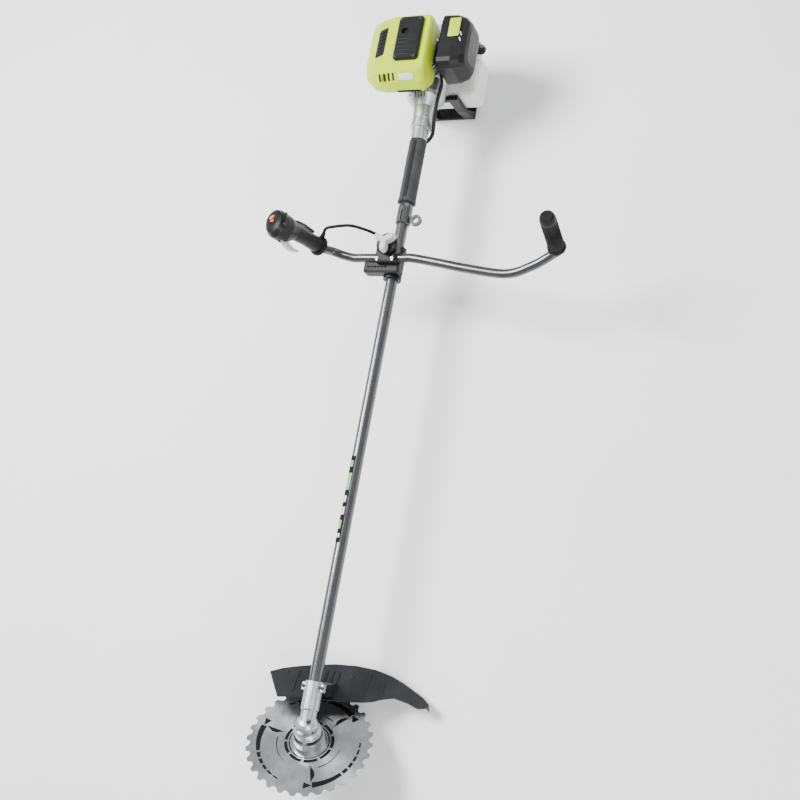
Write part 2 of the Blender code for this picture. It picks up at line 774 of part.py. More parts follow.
def bevel_gear_loops(teeth, cone, outward, toward, tooth_first):
    """Outlines of a bevel gear's inner and outer ends, on spheres about the axis crossing."""
    across = outward.cross(toward)
    pitch = 2 * math.pi / teeth
    addendum, dedendum = 0.070, 0.105  # as angles at the crossing
    root, tip = cone - dedendum, cone + addendum
    shares = [(-0.29, root), (-0.115, tip), (0.115, tip), (0.29, root)]
    loops = []
    for distance in (CONE_DISTANCE - GEAR_FACE, CONE_DISTANCE):
        loop = []
        for tooth in range(teeth):
            for share, slope in shares:
                t = pitch * (tooth + share + (0.0 if tooth_first else 0.5))
                radial = math.cos(t) * toward + math.sin(t) * across
                reach = math.cos(slope) * outward + math.sin(slope) * radial
                loop.append(at(HEAD_X, 0, 0) + distance * reach)
        loops.append(loop)
    return loops


def make_bevel_gears():
    """The pinion on the drive shaft and the gear on the blade's shaft, in mesh at rest."""
    toward_gear = (-HEAD_UP + HEAD_UP.dot(X) * X).normalized()
    loops = bevel_gear_loops(PINION_TEETH, PINION_CONE, -X, toward_gear, False)
    count = 4 * PINION_TEETH
    across = (-X).cross(toward_gear)
    hub = [
        circle(at(PINION_BACK - back, 0, 0), toward_gear, across, radius, count)
        for back, radius in ((0.0025, 0.0095), (0.0027, 0.0068), (PINION_HUB_LENGTH, 0.0068))
    ]
    add("bevel_pinion", skin(loops + hub), "steel", at(HEAD_X, 0, 0))

    toward_pinion = (-X + X.dot(HEAD_UP) * HEAD_UP).normalized()
    loops = bevel_gear_loops(GEAR_TEETH, GEAR_CONE, -HEAD_UP, toward_pinion, True)
    count = 4 * GEAR_TEETH
    across = (-HEAD_UP).cross(toward_pinion)
    bore = OUTPUT_SHAFT_DIAMETER / 2 + GAP
    rims = [
        circle(head(0, 0, -down), toward_pinion, across, radius, count)
        for down, radius in (
            (0.0072, 0.0150),
            (0.0074, 0.0088),
            (GEAR_HUB_END, bore),
            (0.0034, bore),
        )
    ]
    add("bevel_gear", skin(loops + rims, ring=True), "steel", head(0, 0, 0))


def make_head_bearings():
    shaft = OUTPUT_SHAFT_DIAMETER / 2 + GAP
    first = -GEAR_HUB_END - GAP - HEAD_BEARING_LENGTH
    second = first - GAP - HEAD_BEARING_LENGTH
    for name, foot in (("output_bearing_upper", first), ("output_bearing_lower", second)):
        bearing = ring(head(0, 0, foot), HEAD_UP, shaft, CASE_BORE - GAP, HEAD_BEARING_LENGTH)
        add(name, bearing, "steel")
    start = at(PINION_BEARING_REAR, 0, 0)
    pinion = ring(start, X, SHAFT_RADIUS + GAP, SOCKET_RADIUS - GAP, PINION_BEARING_LENGTH)
    add("pinion_bearing", pinion, "steel")


WASHER_TOP = -BLADE_DROP - BLADE_THICKNESS - GAP
WASHER_THICKNESS = 0.0038
NUT_TOP = WASHER_TOP - WASHER_THICKNESS - GAP
CUP_RADIUS = 0.042


def make_output_shaft(top=-0.0014):
    bottom = NUT_TOP - 0.013
    shaft = rod(head(0, 0, bottom), HEAD_UP, OUTPUT_SHAFT_DIAMETER / 2, top - bottom, 20)
    add("output_shaft", shaft, "steel", head(0, 0, 0))


def make_dust_bell():
    """The upper flange: it drives the blade and keeps grass out of the bearing."""
    bore = OUTPUT_SHAFT_DIAMETER / 2 + GAP
    foot = -BLADE_DROP + GAP
    top = CASE_FOOT - 0.001
    boss = BLADE_BORE / 2 - GAP
    profile = [
        (bore, top + 0.0004),
        (0.0115, top + 0.0004),
        (0.0115, foot + 0.0055),
        (0.0270, foot + 0.0080),
        (0.0290, top - 0.006),
        (0.0310, top - 0.006),
        (0.0310, foot + 0.0080),
        (0.0270, foot + 0.0010),
        (0.0265, foot),
        (boss, foot),
        (boss, foot - BLADE_THICKNESS),
        (bore, foot - BLADE_THICKNESS),
    ]
    add("dust_bell", turned(profile, head(0, 0, 0), HEAD_UP, 24, closed=True), "casting", head(0, 0, 0))


def make_blade():
    """A flat steel disc whose teeth have square tips and rounded gullets."""
    pitch = 2 * math.pi / BLADE_TEETH
    # share of a tooth's pitch, share of the tooth's depth
    tooth = [(0.0, 0.0), (0.36, 0.06), (0.50, 1.0), (0.78, 0.85)]

    def outline(up):
        points = []
        for i in range(BLADE_TEETH):
            for share, depth in tooth:
                t = pitch * (i + share)
                reach = BLADE_RADIUS - TOOTH_DEPTH * depth
                points.append(head(reach * math.cos(t), reach * math.sin(t), up))
        return points

    count = BLADE_TEETH * len(tooth)
    top, bottom = -BLADE_DROP, -BLADE_DROP - BLADE_THICKNESS
    bore = [
        circle(head(0, 0, up), HEAD_FORWARD, HEAD_LEFT, BLADE_BORE / 2, count)
        for up in (top, bottom)
    ]
    blade = skin([outline(bottom), outline(top), bore[0], bore[1]], ring=True)
    add("blade", blade, "steel", head(0, 0, 0))


def hexagon(centre, radius, count):
    """Points evenly round a hexagon square to the blade axis."""
    points = []
    for i in range(count):
        t = 2 * math.pi * i / count
        past_corner = t % (math.pi / 3) - math.pi / 6
        reach = radius * math.cos(math.pi / 6) / math.cos(past_corner)
        points.append(centre + reach * (math.cos(t) * HEAD_FORWARD + math.sin(t) * HEAD_LEFT))
    return points


def make_blade_fasteners():
    """The clamping washer, the cup that slides over the ground, and the nut."""
    bore = OUTPUT_SHAFT_DIAMETER / 2 + GAP
    pivot = head(0, 0, 0)
    washer = ring(head(0, 0, WASHER_TOP), -HEAD_UP, bore, 0.026, WASHER_THICKNESS, 32)
    add("clamp_washer", washer, "steel", pivot)
    nut_radius = 0.0094
    thickness = 0.0022
    cup = [
        (nut_radius + 0.002, 0),
        (0.027, 0),
        (CUP_RADIUS - 0.004, -0.006),
        (CUP_RADIUS, -0.012),
        (CUP_RADIUS - 0.0025, -0.012),
        (CUP_RADIUS - 0.006, -0.006 - thickness),
        (0.026, -thickness),
        (nut_radius + 0.002, -thickness),
    ]
    add("stabiliser_cup", turned(cup, head(0, 0, NUT_TOP), HEAD_UP, 32, closed=True), "dark steel", pivot)
    height = 0.009
    rims = [hexagon(head(0, 0, NUT_TOP - drop), nut_radius, 18) for drop in (0, height)]
    bores = [circle(head(0, 0, NUT_TOP - drop), HEAD_FORWARD, HEAD_LEFT, bore, 18) for drop in (height, 0)]
    add("blade_nut", skin(rims + bores, ring=True), "dark steel", pivot)


# ---- guard -----------------------------------------------------------------------------------
# (left, forward) of the panel's rear edge, then of its front edge, from the blade's centre
GUARD_STATIONS = [
    (-0.122, -0.132, -0.088, -0.070),
    (-0.100, -0.145, -0.074, -0.073),
    (-0.074, -0.155, -0.056, -0.075),
    (-0.040, -0.166, -0.030, -0.078),
    (0.005, -0.177, 0.010, -0.081),
    (0.050, -0.182, 0.050, -0.086),
    (0.090, -0.180, 0.084, -0.091),
    (0.112, -0.175, 0.106, -0.097),
    (0.132, -0.169, 0.124, -0.107),
    (0.158, -0.157, 0.146, -0.115),
    (0.184, -0.142, 0.176, -0.108),
    (0.204, -0.130, 0.198, -0.099),
    (0.219, -0.116, 0.214, -0.103),
]


def guard_skirt_foot():
    """Where the skirt ends along the blade axis, so that its lowest corner meets the ground."""
    panel = HUB + GUARD_LIFT
    lowest = min(head(rear, side, panel).z for side, rear, _, _ in GUARD_STATIONS)
    return panel - lowest / HEAD_UP.z


def make_guard():
    """A panel over the rear of the blade with a skirt along its outer edge."""
    panel, skirt = HUB + GUARD_LIFT, guard_skirt_foot()
    top = panel + GUARD_WALL
    loops = []
    for side, rear, front_side, front in GUARD_STATIONS:
        rim = rear + GUARD_WALL
        corners = [
            (front, front_side, panel),
            (front, front_side, top),
            (rear + 0.004, side, top),
            (rear, side, top - 0.004),
            (rear, side, skirt),
            (rim, side, skirt),
            (rim, side, panel - 0.002),
            (rim + 0.002, side, panel),
        ]
        loops.append([head(*corner) for corner in corners])
    add("guard", skin(loops), "grey")


def make_guard_bracket(width=0.052):
    """A leg from the gear case's collar down to the guard's panel."""
    foot = HUB + GUARD_LIFT + GUARD_WALL + GAP

    def in_head(x, z):
        """A point under the boom, as forward and up in the head's directions."""
        back = x - HEAD_X
        return (
            back * math.sin(HEAD_ANGLE) + z * math.cos(HEAD_ANGLE),
            z * math.sin(HEAD_ANGLE) - back * math.cos(HEAD_ANGLE),
        )

    outline = [
        (-0.122, foot),
        (-0.090, foot),
        (-0.088, foot + 0.004),
        in_head(COLLAR_REAR + 0.024, -0.0120),
        in_head(COLLAR_REAR + 0.001, -0.0120),
        (-0.120, foot + 0.006),
    ]
    leg = prism(outline, head(0, -width / 2, 0), HEAD_FORWARD, HEAD_UP, HEAD_LEFT, width)
    bracket = add("guard_bracket", leg, "black")
    cut(bracket, rod(at(COLLAR_REAR - 0.06, 0, 0), X, COLLAR_RADIUS + GAP, 0.12, 32))


# ---- engine: rotating parts ------------------------------------------------------------------
def make_clutch_housing():
    """The cast bell between the engine and the boom, with a damper ring and the boom's socket."""
    bell = BELL_DIAMETER / 2
    wall = 0.004
    outer = [
        (bell, BELL_REAR),
        (bell, 0.074),
        (bell - 0.002, 0.082),
        (0.0320, 0.094),
        (0.0255, 0.105),
        (0.0225, 0.134),
        (0.0205, 0.137),
        (0.0235, 0.138),
        (0.0235, 0.157),
        (NECK_OUTER, 0.158),
        (NECK_OUTER, SLEEVE_START - 0.0015),
    ]
    inner = [
        (SOCKET_RADIUS, SLEEVE_START - 0.0015),
        (SOCKET_RADIUS, 0.124),
        (0.0085, 0.122),
        (0.0085, 0.098),
        (0.0245, 0.094),
        (DRUM_DIAMETER / 2 + 0.002, 0.0870),
        (bell - wall, 0.074),
        (bell - wall, BELL_REAR),
    ]
    housing = add("clutch_housing", turned(outer + inner, at(0, 0, 0), X, 28, closed=True), "casting")
    slots = [
        block((0.080, y - 0.0015, 0.020), (0.092, y + 0.0015, 0.060))
        for y in (-0.0115, -0.0045, 0.0025, 0.0095)
    ]
    cut(housing, *slots)


def make_clutch_drum():
    outer = DRUM_DIAMETER / 2
    profile = [
        (0, 0.0815),
        (outer - 0.003, 0.0815),
        (outer - 0.003, 0.058),
        (outer, 0.058),
        (outer, 0.0845),
        (0.0080, 0.0865),
        (0.0080, DRUM_FRONT),
        (0, DRUM_FRONT),
    ]
    add("clutch_drum", turned(profile, at(0, 0, 0), X, 28), "steel", at(0.07, 0, 0))


def make_clutch_shoes(inner=0.0075, steps=10):
    """Two half-round shoes that swing out against the drum when the engine speeds up."""
    outer = DRUM_DIAMETER / 2 - 0.0042
    rear, front = 0.0605, 0.0795
    for number, start in ((1, 6), (2, 186)):
        turns = [math.radians(start + 168 * i / steps) for i in range(steps + 1)]
        rim = [(outer * math.cos(t), outer * math.sin(t)) for t in turns]
        rim += [(inner * math.cos(t), inner * math.sin(t)) for t in reversed(turns)]
        shoe = prism(rim, at(rear, 0, 0), Y, Z, X, front - rear)
        add(f"clutch_shoe_{number}", shoe, "dark steel", at(rear, 0, 0))


def make_crankshaft():
    """Two webs on the main shaft with the crank pin between them, at the top of its stroke."""
    journal = JOURNAL_DIAMETER / 2
    rear = [(0, -0.0655), (journal - 0.001, -0.0655), (journal, -0.060), (journal, -0.0105), (0, -0.0105)]
    shaft = add("crankshaft", turned(rear, at(0, 0, 0), X, 20), "steel")
    web = 0.0215
    boss = journal + 0.0012
    join(
        shaft,
        rod(at(-0.0110, 0, 0), X, web, 0.0080, 28),
        rod(at(-0.0040, 0, CRANK_RADIUS), X, 0.0048, 0.0140, 16),
        rod(at(0.0090, 0, 0), X, web, 0.0080, 28),
        rod(at(0.0160, 0, 0), X, journal, 0.0650, 20),
        rod(at(CRANKCASE_FRONT + 0.004, 0, 0), X, boss, 0.010, 20),
    )
    shaft.data.transform(Matrix.Translation(-at(0, 0, 0)))
    shaft.location = at(0, 0, 0)


def make_flywheel():
    outer = FLYWHEEL_DIAMETER / 2
    bore = JOURNAL_DIAMETER / 2 + GAP
    profile = [
        (outer, -0.058),
        (outer, -0.048),
        (outer - 0.004, -0.0440),
        (0.012, -0.0440),
        (0.012, -0.0390),
        (bore, -0.0390),
        (bore, -0.0575),
        (0.012, -0.0575),
        (outer - 0.010, -0.0530),
        (outer - 0.006, -0.058),
    ]
    add("flywheel", turned(profile, at(0, 0, 0), X, 24, closed=True), "casting", at(-0.05, 0, 0))


# ---- engine: fixed parts ---------------------------------------------------------------------
def make_crankcase():
    """Two halves that meet in the cylinder's plane and hold the crankshaft between them."""
    outer, bore = CRANKCASE_DIAMETER / 2, JOURNAL_DIAMETER / 2 + GAP
    chamber = 0.0245
    halves = (
        ("crankcase_rear", CRANKCASE_REAR, -0.0135, CYLINDER_X - GAP),
        ("crankcase_front", CRANKCASE_FRONT, 0.0195, CYLINDER_X + GAP),
    )
    for name, end, wall, split in halves:
        profile = [
            (bore, end),
            (outer - 0.006, end),
            (outer, end + math.copysign(0.008, split - end)),
            (outer, split),
            (chamber, split),
            (chamber, wall),
            (bore, wall),
        ]
        half = add(name, turned(profile, at(0, 0, 0), X, 24, closed=True), "casting")
        cut(
            half,
            block((-0.1, -0.1, CRANKCASE_TOP), (0.1, 0.1, 0.1)),
            rod(at(CYLINDER_X, 0, 0.012), Z, CYLINDER_BORE / 2 + GAP, 0.05, 24),
        )


CYLINDER_FOOT = CRANKCASE_TOP + GAP
HEAD_INSIDE = 0.083
HEAD_TOP = 0.094
PLUG_THREAD_RADIUS = 0.0052


def make_cylinder():
    """The barrel with its cooling fins and the plug hole in its head."""
    bore, barrel, fin = CYLINDER_BORE / 2, 0.0225, FIN_DIAMETER / 2
    pitch = (HEAD_TOP - 0.036) / FIN_COUNT
    thickness = 0.0024
    profile = [(bore, CYLINDER_FOOT), (0.030, CYLINDER_FOOT), (0.030, CYLINDER_FOOT + 0.004)]
    profile.append((barrel, CYLINDER_FOOT + 0.004))
    for i in range(FIN_COUNT):
        low = 0.036 + pitch * (i + 1) - thickness
        profile += [(barrel, low), (fin, low), (fin, low + thickness)]
        if i < FIN_COUNT - 1:
            profile.append((barrel, low + thickness))
    profile += [(PLUG_THREAD_RADIUS + GAP, HEAD_TOP), (PLUG_THREAD_RADIUS + GAP, HEAD_INSIDE), (bore, HEAD_INSIDE)]
    add("cylinder", turned(profile, at(CYLINDER_X, 0, 0), Z, 20, closed=True), "casting")


def make_piston():
    """The piston at the top of its stroke, hollow towards the crank."""
    radius = CYLINDER_BORE / 2 - GAP
    top = HEAD_INSIDE - 0.0015
    length = 0.022
    profile = [
        (0, top),
        (radius, top),
        (radius, top - length),
        (radius - 0.003, top - length),
        (radius - 0.003, top - 0.006),
        (0, top - 0.006),
    ]
    add("piston", turned(profile, at(CYLINDER_X, 0, 0), Z, 24), "casting", at(CYLINDER_X, 0, top))


def make_spark_plug():
    base = at(CYLINDER_X, 0, 0)
    profile = [
        (0, HEAD_INSIDE + 0.001),
        (PLUG_THREAD_RADIUS, HEAD_INSIDE + 0.001),
        (PLUG_THREAD_RADIUS, HEAD_TOP + GAP),
        (0.0092, HEAD_TOP + GAP),
        (0.0092, 0.1040),
        (0.0055, 0.1050),
        (0.0050, 0.1180),
        (0.0028, 0.1185),
        (0.0028, 0.1240),
        (0, 0.1240),
    ]
    add("spark_plug", turned(profile, base, Z, 18), "ceramic")
    boot = [
        (0, 0.1246),
        (0.0062, 0.1246),
        (0.0062, 0.1065),
        (0.0096, 0.1065),
        (0.0100, 0.1240),
        (0.0085, 0.1305),
        (0, 0.1310),
    ]
    add("plug_boot", turned(boot, base, Z, 20), "black")


# height, rear, front, right, left, and the round of the front right corner, of the cover's outside
COVER_SECTIONS = [
    (0.0535, -0.056, 0.080, -0.118, 0.035, 0.050),
    (0.080, -0.060, 0.108, -0.122, 0.037, 0.066),
    (0.096, -0.060, 0.113, -0.115, 0.039, 0.064),
    (0.116, -0.057, 0.105, -0.088, 0.042, 0.048),
    (0.131, -0.052, 0.090, -0.058, 0.043, 0.026),
    (0.135, -0.049, 0.084, -0.050, 0.040, 0.020),
]
PLATE = (-0.044, 0.064, -0.031, 0.027)  # rear, front, right, left of the plug cover


def make_engine_cover():
    """A moulded cover over the cylinder and muffler, open below, with a hole under the plug cover."""
    rise = COVER_TOP - COVER_SECTIONS[-1][0]
    outer, inner = [], []
    for height, rear, front, right, left, corner in COVER_SECTIONS:
        outline = rounded_rectangle(rear, front, right, left, 0.012, corner)
        outer.append([at(x, y, height + rise) for x, y in outline])
        wall = COVER_WALL
        outline = rounded_rectangle(
            rear + wall, front - wall, right + wall, left - wall, 0.012 - wall, corner - wall
        )
        floor = height - wall if inner else height
        inner.append([at(x, y, floor + rise) for x, y in outline])
    rim = 0.006
    hole = rounded_rectangle(PLATE[0] + rim, PLATE[1] - rim, PLATE[2] + rim, PLATE[3] - rim, 0.008)
    hole_top = [at(x, y, COVER_TOP) for x, y in hole]
    hole_low = [at(x, y, COVER_TOP - COVER_WALL) for x, y in hole]
    cover = add("engine_cover", skin(outer + [hole_top, hole_low] + inner[::-1], ring=True), "lime")
    cut(cover, block((-0.030, 0.010, 0.022), (0.046, 0.070, 0.080)))


def make_plug_cover(hole_radius=0.008):
    """The black plate over the plug, with a round hole for the plug spanner."""
    base = COVER_TOP + GAP
    rear, front, right, left = PLATE
    loops = []
    for inset, height in ((0, 0), (0, 0.005), (0.003, 0.008)):
        outline = rounded_rectangle(rear + inset, front - inset, right + inset, left - inset, 0.008)
        loops.append([at(x, y, base + height) for x, y in outline])
    plate = add("plug_cover", skin(loops), "black")
    cut(plate, rod(at(-0.006, -0.012, base - 0.01), Z, hole_radius, 0.03, 20))


def make_muffler():
    """A pressed-steel box beside the cylinder with its outlet at the front."""
    low, high = (-0.040, -0.106, 0.028), (0.040, -0.038, 0.084)
    wall = 0.0015
    muffler = add("muffler", block(low, high, 0.010, 3), "dark steel")
    inner_low = tuple(value + wall for value in low)
    inner_high = tuple(value - wall for value in high)
    outlet_y, outlet_z = -0.072, 0.044
    join(muffler, rod(at(high[0] - 0.006, outlet_y, outlet_z), X, 0.0085, 0.014, 16))
    cut(
        muffler,
        block(inner_low, inner_high, 0.009, 2),
        rod(at(high[0] - 0.016, outlet_y, outlet_z), X, 0.0070, 0.050, 16),
    )


def make_intake():
    """The heat insulator, the carburettor and its levers, from the cylinder outwards."""
    first, second = FIN_DIAMETER / 2 + GAP, 0.0380
    throat = 0.008
    height = 0.052
    axis_start = at(CYLINDER_X, 0, height)
    manifold = add(
        "intake_manifold",
        block((-0.015, first, height - 0.015), (0.021, second, height + 0.015), 0.0015, 1),
        "black",
    )
    cut(manifold, rod(axis_start, Y, throat, 0.2, 20))
    body = add(
        "carburettor",
        block(
            (-0.016, second + GAP, height - 0.018),
            (0.0290, FILTER_INNER - 0.0035, height + 0.018),
            0.003,
        ),
        "casting",
    )
    cut(body, rod(axis_start, Y, throat, 0.2, 20))
    bulb_base = at(0.006, second + 0.0085, height - 0.018 - GAP)
    cut(body, rod(bulb_base - 0.01 * Z, Z, 0.0075, 0.0148, 20))
    bulb = [(0, 0), (0.0070, 0), (0.0068, 0.004), (0.0050, 0.0085), (0.0020, 0.0105), (0, 0.0105)]
    add("primer_bulb", turned(bulb, bulb_base, -Z, 20), "tank", bulb_base)


def make_choke_lever():
    """A small lever that turns about a cross pin in front of the carburettor."""
    x, y, z = 0.0365, 0.0405, 0.046
    lever = add("choke_lever", rod(at(x, y, z), Y, 0.0058, 0.0035, 20), "black")
    join(
        lever,
        block((x - 0.0030, y + 0.0004, z + 0.001), (x + 0.0030, y + 0.0031, z + 0.026), 0.001, 1),
        block((x - 0.0035, y - 0.0010, z + 0.021), (x + 0.0035, y + 0.0045, z + 0.030), 0.001, 1),
    )
    lever.data.transform(Matrix.Translation(-at(x, y, z)))
    lever.location = at(x, y, z)


def make_air_filter():
    """The back plate, the foam element, and the domed cover over them."""
    rear, front, low, high = -0.070, 0.062, 0.014, 0.110
    corner = 0.018
    plate_outline = rounded_rectangle(rear + 0.004, front - 0.004, low + 0.004, high - 0.004, corner)
    plate_start = at(0, FILTER_INNER - 0.0032, 0)
    plate = add("filter_plate", prism(plate_outline, plate_start, X, Z, Y, 0.0029), "black")
    cut(plate, rod(at(CYLINDER_X, 0, 0.052), Y, 0.010, 0.2, 20))
    element = block(
        (rear + 0.016, FILTER_INNER + 0.004, low + 0.014),
        (front - 0.016, FILTER_INNER + 0.034, high - 0.014),
        0.006,
    )
    add("filter_element", element, "foam")
    wall = 0.0025
    depth = FILTER_OUTER - FILTER_INNER
    outer, inner = [], []
    for share, inset in ((0, 0), (0.50, 0.001), (0.80, 0.006), (0.95, 0.014), (1.0, 0.024)):
        for loops, shrink, shift in ((outer, 0, 0), (inner, wall, -wall * (share > 0))):
            size = inset + shrink
            outline = rounded_rectangle(
                rear + size, front - size, low + size, high - size, max(corner - shrink, 0.004)
            )
            side = FILTER_INNER + depth * share + shift
            loops.append([at(x, side, z) for x, z in outline])
    # the inside is closed by its last loop, the outside by its own, and the rim joins them
    cover = skin(outer[::-1] + inner)
    add("air_filter_cover", cover, "black")


def make_starter_housing(wall=0.0025):
    """The recoil starter's case on the rear of the engine, open towards the flywheel."""
    outer = STARTER_DIAMETER / 2
    profile = [
        (0, STARTER_REAR),
        (outer - 0.016, STARTER_REAR),
        (outer - 0.006, STARTER_REAR + 0.003),
        (outer, STARTER_REAR + 0.010),
        (outer, STARTER_FRONT),
        (outer - wall, STARTER_FRONT),
        (outer - wall, STARTER_REAR + 0.010),
        (outer - 0.018, STARTER_REAR + wall),
        (0, STARTER_REAR + wall),
    ]
    housing = add("starter_housing", turned(profile, at(0, 0, 0), X, 28), "light grey")
    rope_x = (STARTER_FRONT + STARTER_REAR) / 2
    cut(housing, rod(at(rope_x, -outer - 0.01, -PULLEY_RADIUS), Y, 0.004, 0.03, 16))


def make_starter_pulley():
    """The pulley that the starter rope winds on."""
    middle = (STARTER_FRONT + STARTER_REAR) / 2
    rim = PULLEY_RADIUS + 0.006
    profile = [
        (0, middle - 0.007),
        (rim, middle - 0.007),
        (rim, middle - 0.005),
        (PULLEY_RADIUS, middle - 0.004),
        (PULLEY_RADIUS, middle + 0.004),
        (rim, middle + 0.005),
        (rim, middle + 0.007),
        (0, middle + 0.007),
    ]
    add("starter_pulley", turned(profile, at(0, 0, 0), X, 28), "black", at(middle, 0, 0))


def make_starter_grip():
    """A T grip on the end of the starter rope, against the housing's right side."""
    x = (STARTER_FRONT + STARTER_REAR) / 2
    outer = STARTER_DIAMETER / 2
    foot = -outer - 0.001
    # up, half width fore and aft, half width sideways
    sections = [(-0.029, 0.005, 0.005), (-0.026, 0.009, 0.008), (0, 0.0085, 0.007), (0.026, 0.009, 0.008), (0.029, 0.005, 0.005)]
    loops = []
    for up, wide, deep in sections:
        turns = [2 * math.pi * i / 18 for i in range(18)]
        loops.append(
            [
                at(x + wide * math.cos(t), foot - 0.016 + deep * math.sin(t), up - PULLEY_RADIUS)
                for t in turns
            ]
        )
    grip = add("starter_grip", skin(loops), "black")
    join(grip, turned([(0, 0), (0.006, 0), (0.005, 0.014), (0, 0.014)], at(x, foot, -PULLEY_RADIUS), -Y, 16))
    join(grip, rod(at(x, foot - 0.002, -PULLEY_RADIUS), Y, 0.0018, 0.012, 10))
    pivot = at(x, foot, -PULLEY_RADIUS)
    grip.data.transform(Matrix.Translation(-pivot))
    grip.location = pivot


# ---- fuel tank and stand ---------------------------------------------------------------------
CAP_AXIS = Vector((-0.62, 0.30, 0.72)).normalized()
NECK_RADIUS = 0.0105
NECK_BASE = at(TANK_LOW[0] + 0.006, TANK_HIGH[1] - 0.016, TANK_HIGH[2] - 0.010)
NECK_LENGTH = 0.026


def make_fuel_tank():
    """A blow-moulded tank under the crankcase with its filler neck at the rear left."""
    tank = add("fuel_tank", block(TANK_LOW, TANK_HIGH, 0.016, 3), "tank")
    join(tank, rod(NECK_BASE, CAP_AXIS, NECK_RADIUS, NECK_LENGTH, 20))
    inner_low = tuple(value + TANK_WALL for value in TANK_LOW)
    inner_high = tuple(value - TANK_WALL for value in TANK_HIGH)
    cut(
        tank,
        block(inner_low, inner_high, 0.014, 2),
        rod(NECK_BASE, CAP_AXIS, NECK_RADIUS - 0.002, NECK_LENGTH + 0.01, 20),
    )


def make_fuel_cap():
    base = NECK_BASE + (NECK_LENGTH - 0.008) * CAP_AXIS
    outer = CAP_DIAMETER / 2
    profile = [
        (0, 0.0085),
        (NECK_RADIUS + 0.0006, 0.0085),
        (NECK_RADIUS + 0.0006, 0),
        (outer - 0.001, 0),
        (outer, 0.003),
        (outer, 0.012),
        (outer - 0.003, 0.0155),
        (0, 0.0160),
    ]
    add("fuel_cap", turned(profile, base, CAP_AXIS, 24), "black", base)


def make_stand():
    """A moulded cradle: a flat sole under the tank and legs at each end up to the engine."""
    bottom = -BOOM_HEIGHT
    rear, front = STARTER_REAR + 0.006, TANK_HIGH[0] - 0.002
    half = 0.056
    top = bottom + SOLE_THICKNESS
    leg_rear = -STARTER_DIAMETER / 2 - GAP
    bell_foot = -BELL_DIAMETER / 2 - GAP
    rear_leg = TANK_LOW[0] - 0.004
    outline = [
        (TANK_HIGH[0] + 0.004, bell_foot),
        (TANK_HIGH[0] + 0.016, bell_foot),
        (TANK_HIGH[0] + 0.012, TANK_LOW[2] + 0.012),
        (front, bottom + 0.001),
        (front - 0.018, bottom + 0.001),
        (TANK_HIGH[0] + 0.001, TANK_LOW[2] + 0.004),
    ]
    stand = add("stand", block((rear, -half, bottom), (front, half, top)), "black")
    for y in (-half + 0.012, half - 0.012):
        join(stand, prism(outline, at(0, y - 0.011, 0), X, Z, Y, 0.022))
    for y in (-0.034, 0.034):
        join(stand, block((rear, y - 0.008, top - 0.003), (rear_leg, y + 0.008, leg_rear), 0.002, 1))
    join(
        stand,
        block(
            (TANK_HIGH[0] + 0.0042, -half + 0.004, bell_foot - 0.012),
            (TANK_HIGH[0] + 0.0155, half - 0.004, bell_foot - 0.0002),
            0.001,
            1,
        ),
        block((rear, -0.042, leg_rear - 0.010), (rear_leg, 0.042, leg_rear - 0.0002), 0.002, 1),
    )


def main():
    clear_scene()
    make_boom()
    make_drive_shaft()
    make_shaft_bushes()
    make_hip_sleeve()
    make_hanger()
    make_handlebar()
    make_plain_grip()
    make_throttle_housing()
    make_throttle_trigger()
    make_lockout_lever()
    make_stop_switch()
    make_handle_bracket()
    make_bracket_cap()
    make_wing_knob()
    make_throttle_cable()
    make_gear_case()
    make_bevel_gears()
    make_head_bearings()
    make_output_shaft()
    make_dust_bell()
    make_blade()
    make_blade_fasteners()
    make_guard()
    make_guard_bracket()
    make_clutch_housing()
    make_clutch_drum()
    make_clutch_shoes()
    make_crankshaft()
    make_flywheel()
    make_crankcase()
    make_cylinder()
    make_piston()
    make_spark_plug()
    make_engine_cover()
    make_plug_cover()
    make_muffler()
    make_intake()
    make_choke_lever()
    make_air_filter()
    make_starter_housing()
    make_starter_pulley()
    make_starter_grip()
    make_fuel_tank()
    make_fuel_cap()
    make_stand()


main()
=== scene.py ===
"""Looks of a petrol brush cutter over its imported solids: camera, light, finishes, fine detail."""
import json
import math

import bmesh
import bpy
from mathutils import Matrix, Vector


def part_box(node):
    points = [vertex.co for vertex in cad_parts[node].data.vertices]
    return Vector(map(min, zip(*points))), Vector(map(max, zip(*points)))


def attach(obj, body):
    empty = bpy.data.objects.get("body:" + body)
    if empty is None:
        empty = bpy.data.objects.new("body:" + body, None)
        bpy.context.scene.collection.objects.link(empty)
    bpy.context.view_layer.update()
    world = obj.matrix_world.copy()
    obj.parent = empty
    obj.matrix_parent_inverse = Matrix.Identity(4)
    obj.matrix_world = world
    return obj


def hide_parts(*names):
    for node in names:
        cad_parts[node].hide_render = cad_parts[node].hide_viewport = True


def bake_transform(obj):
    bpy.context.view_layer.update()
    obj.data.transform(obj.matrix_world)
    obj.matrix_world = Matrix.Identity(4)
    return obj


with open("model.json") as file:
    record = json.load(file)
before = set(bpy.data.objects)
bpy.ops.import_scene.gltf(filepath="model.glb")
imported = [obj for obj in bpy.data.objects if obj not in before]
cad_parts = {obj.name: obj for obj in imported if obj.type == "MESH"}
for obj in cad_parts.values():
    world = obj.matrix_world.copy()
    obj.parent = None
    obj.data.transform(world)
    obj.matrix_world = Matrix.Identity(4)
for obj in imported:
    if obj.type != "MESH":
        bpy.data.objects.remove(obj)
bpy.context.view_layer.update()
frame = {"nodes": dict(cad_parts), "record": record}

# ---- shared dimensions, in metres ------------------------------------------------------------
BOOM_Z, BOOM_R = 0.160, 0.013  # the boom's axis above the ground, and its radius
BAR_X, BAR_Z, BAR_R = 0.487, 0.033, 0.010  # the handlebar's middle; BAR_Z is above the boom's axis
BAR_RISE = 0.040  # from the bar's middle to the foot of its grips
CABLE_R, CABLE_GAP = 0.0028, 0.0012  # the routed cable, and its clearance
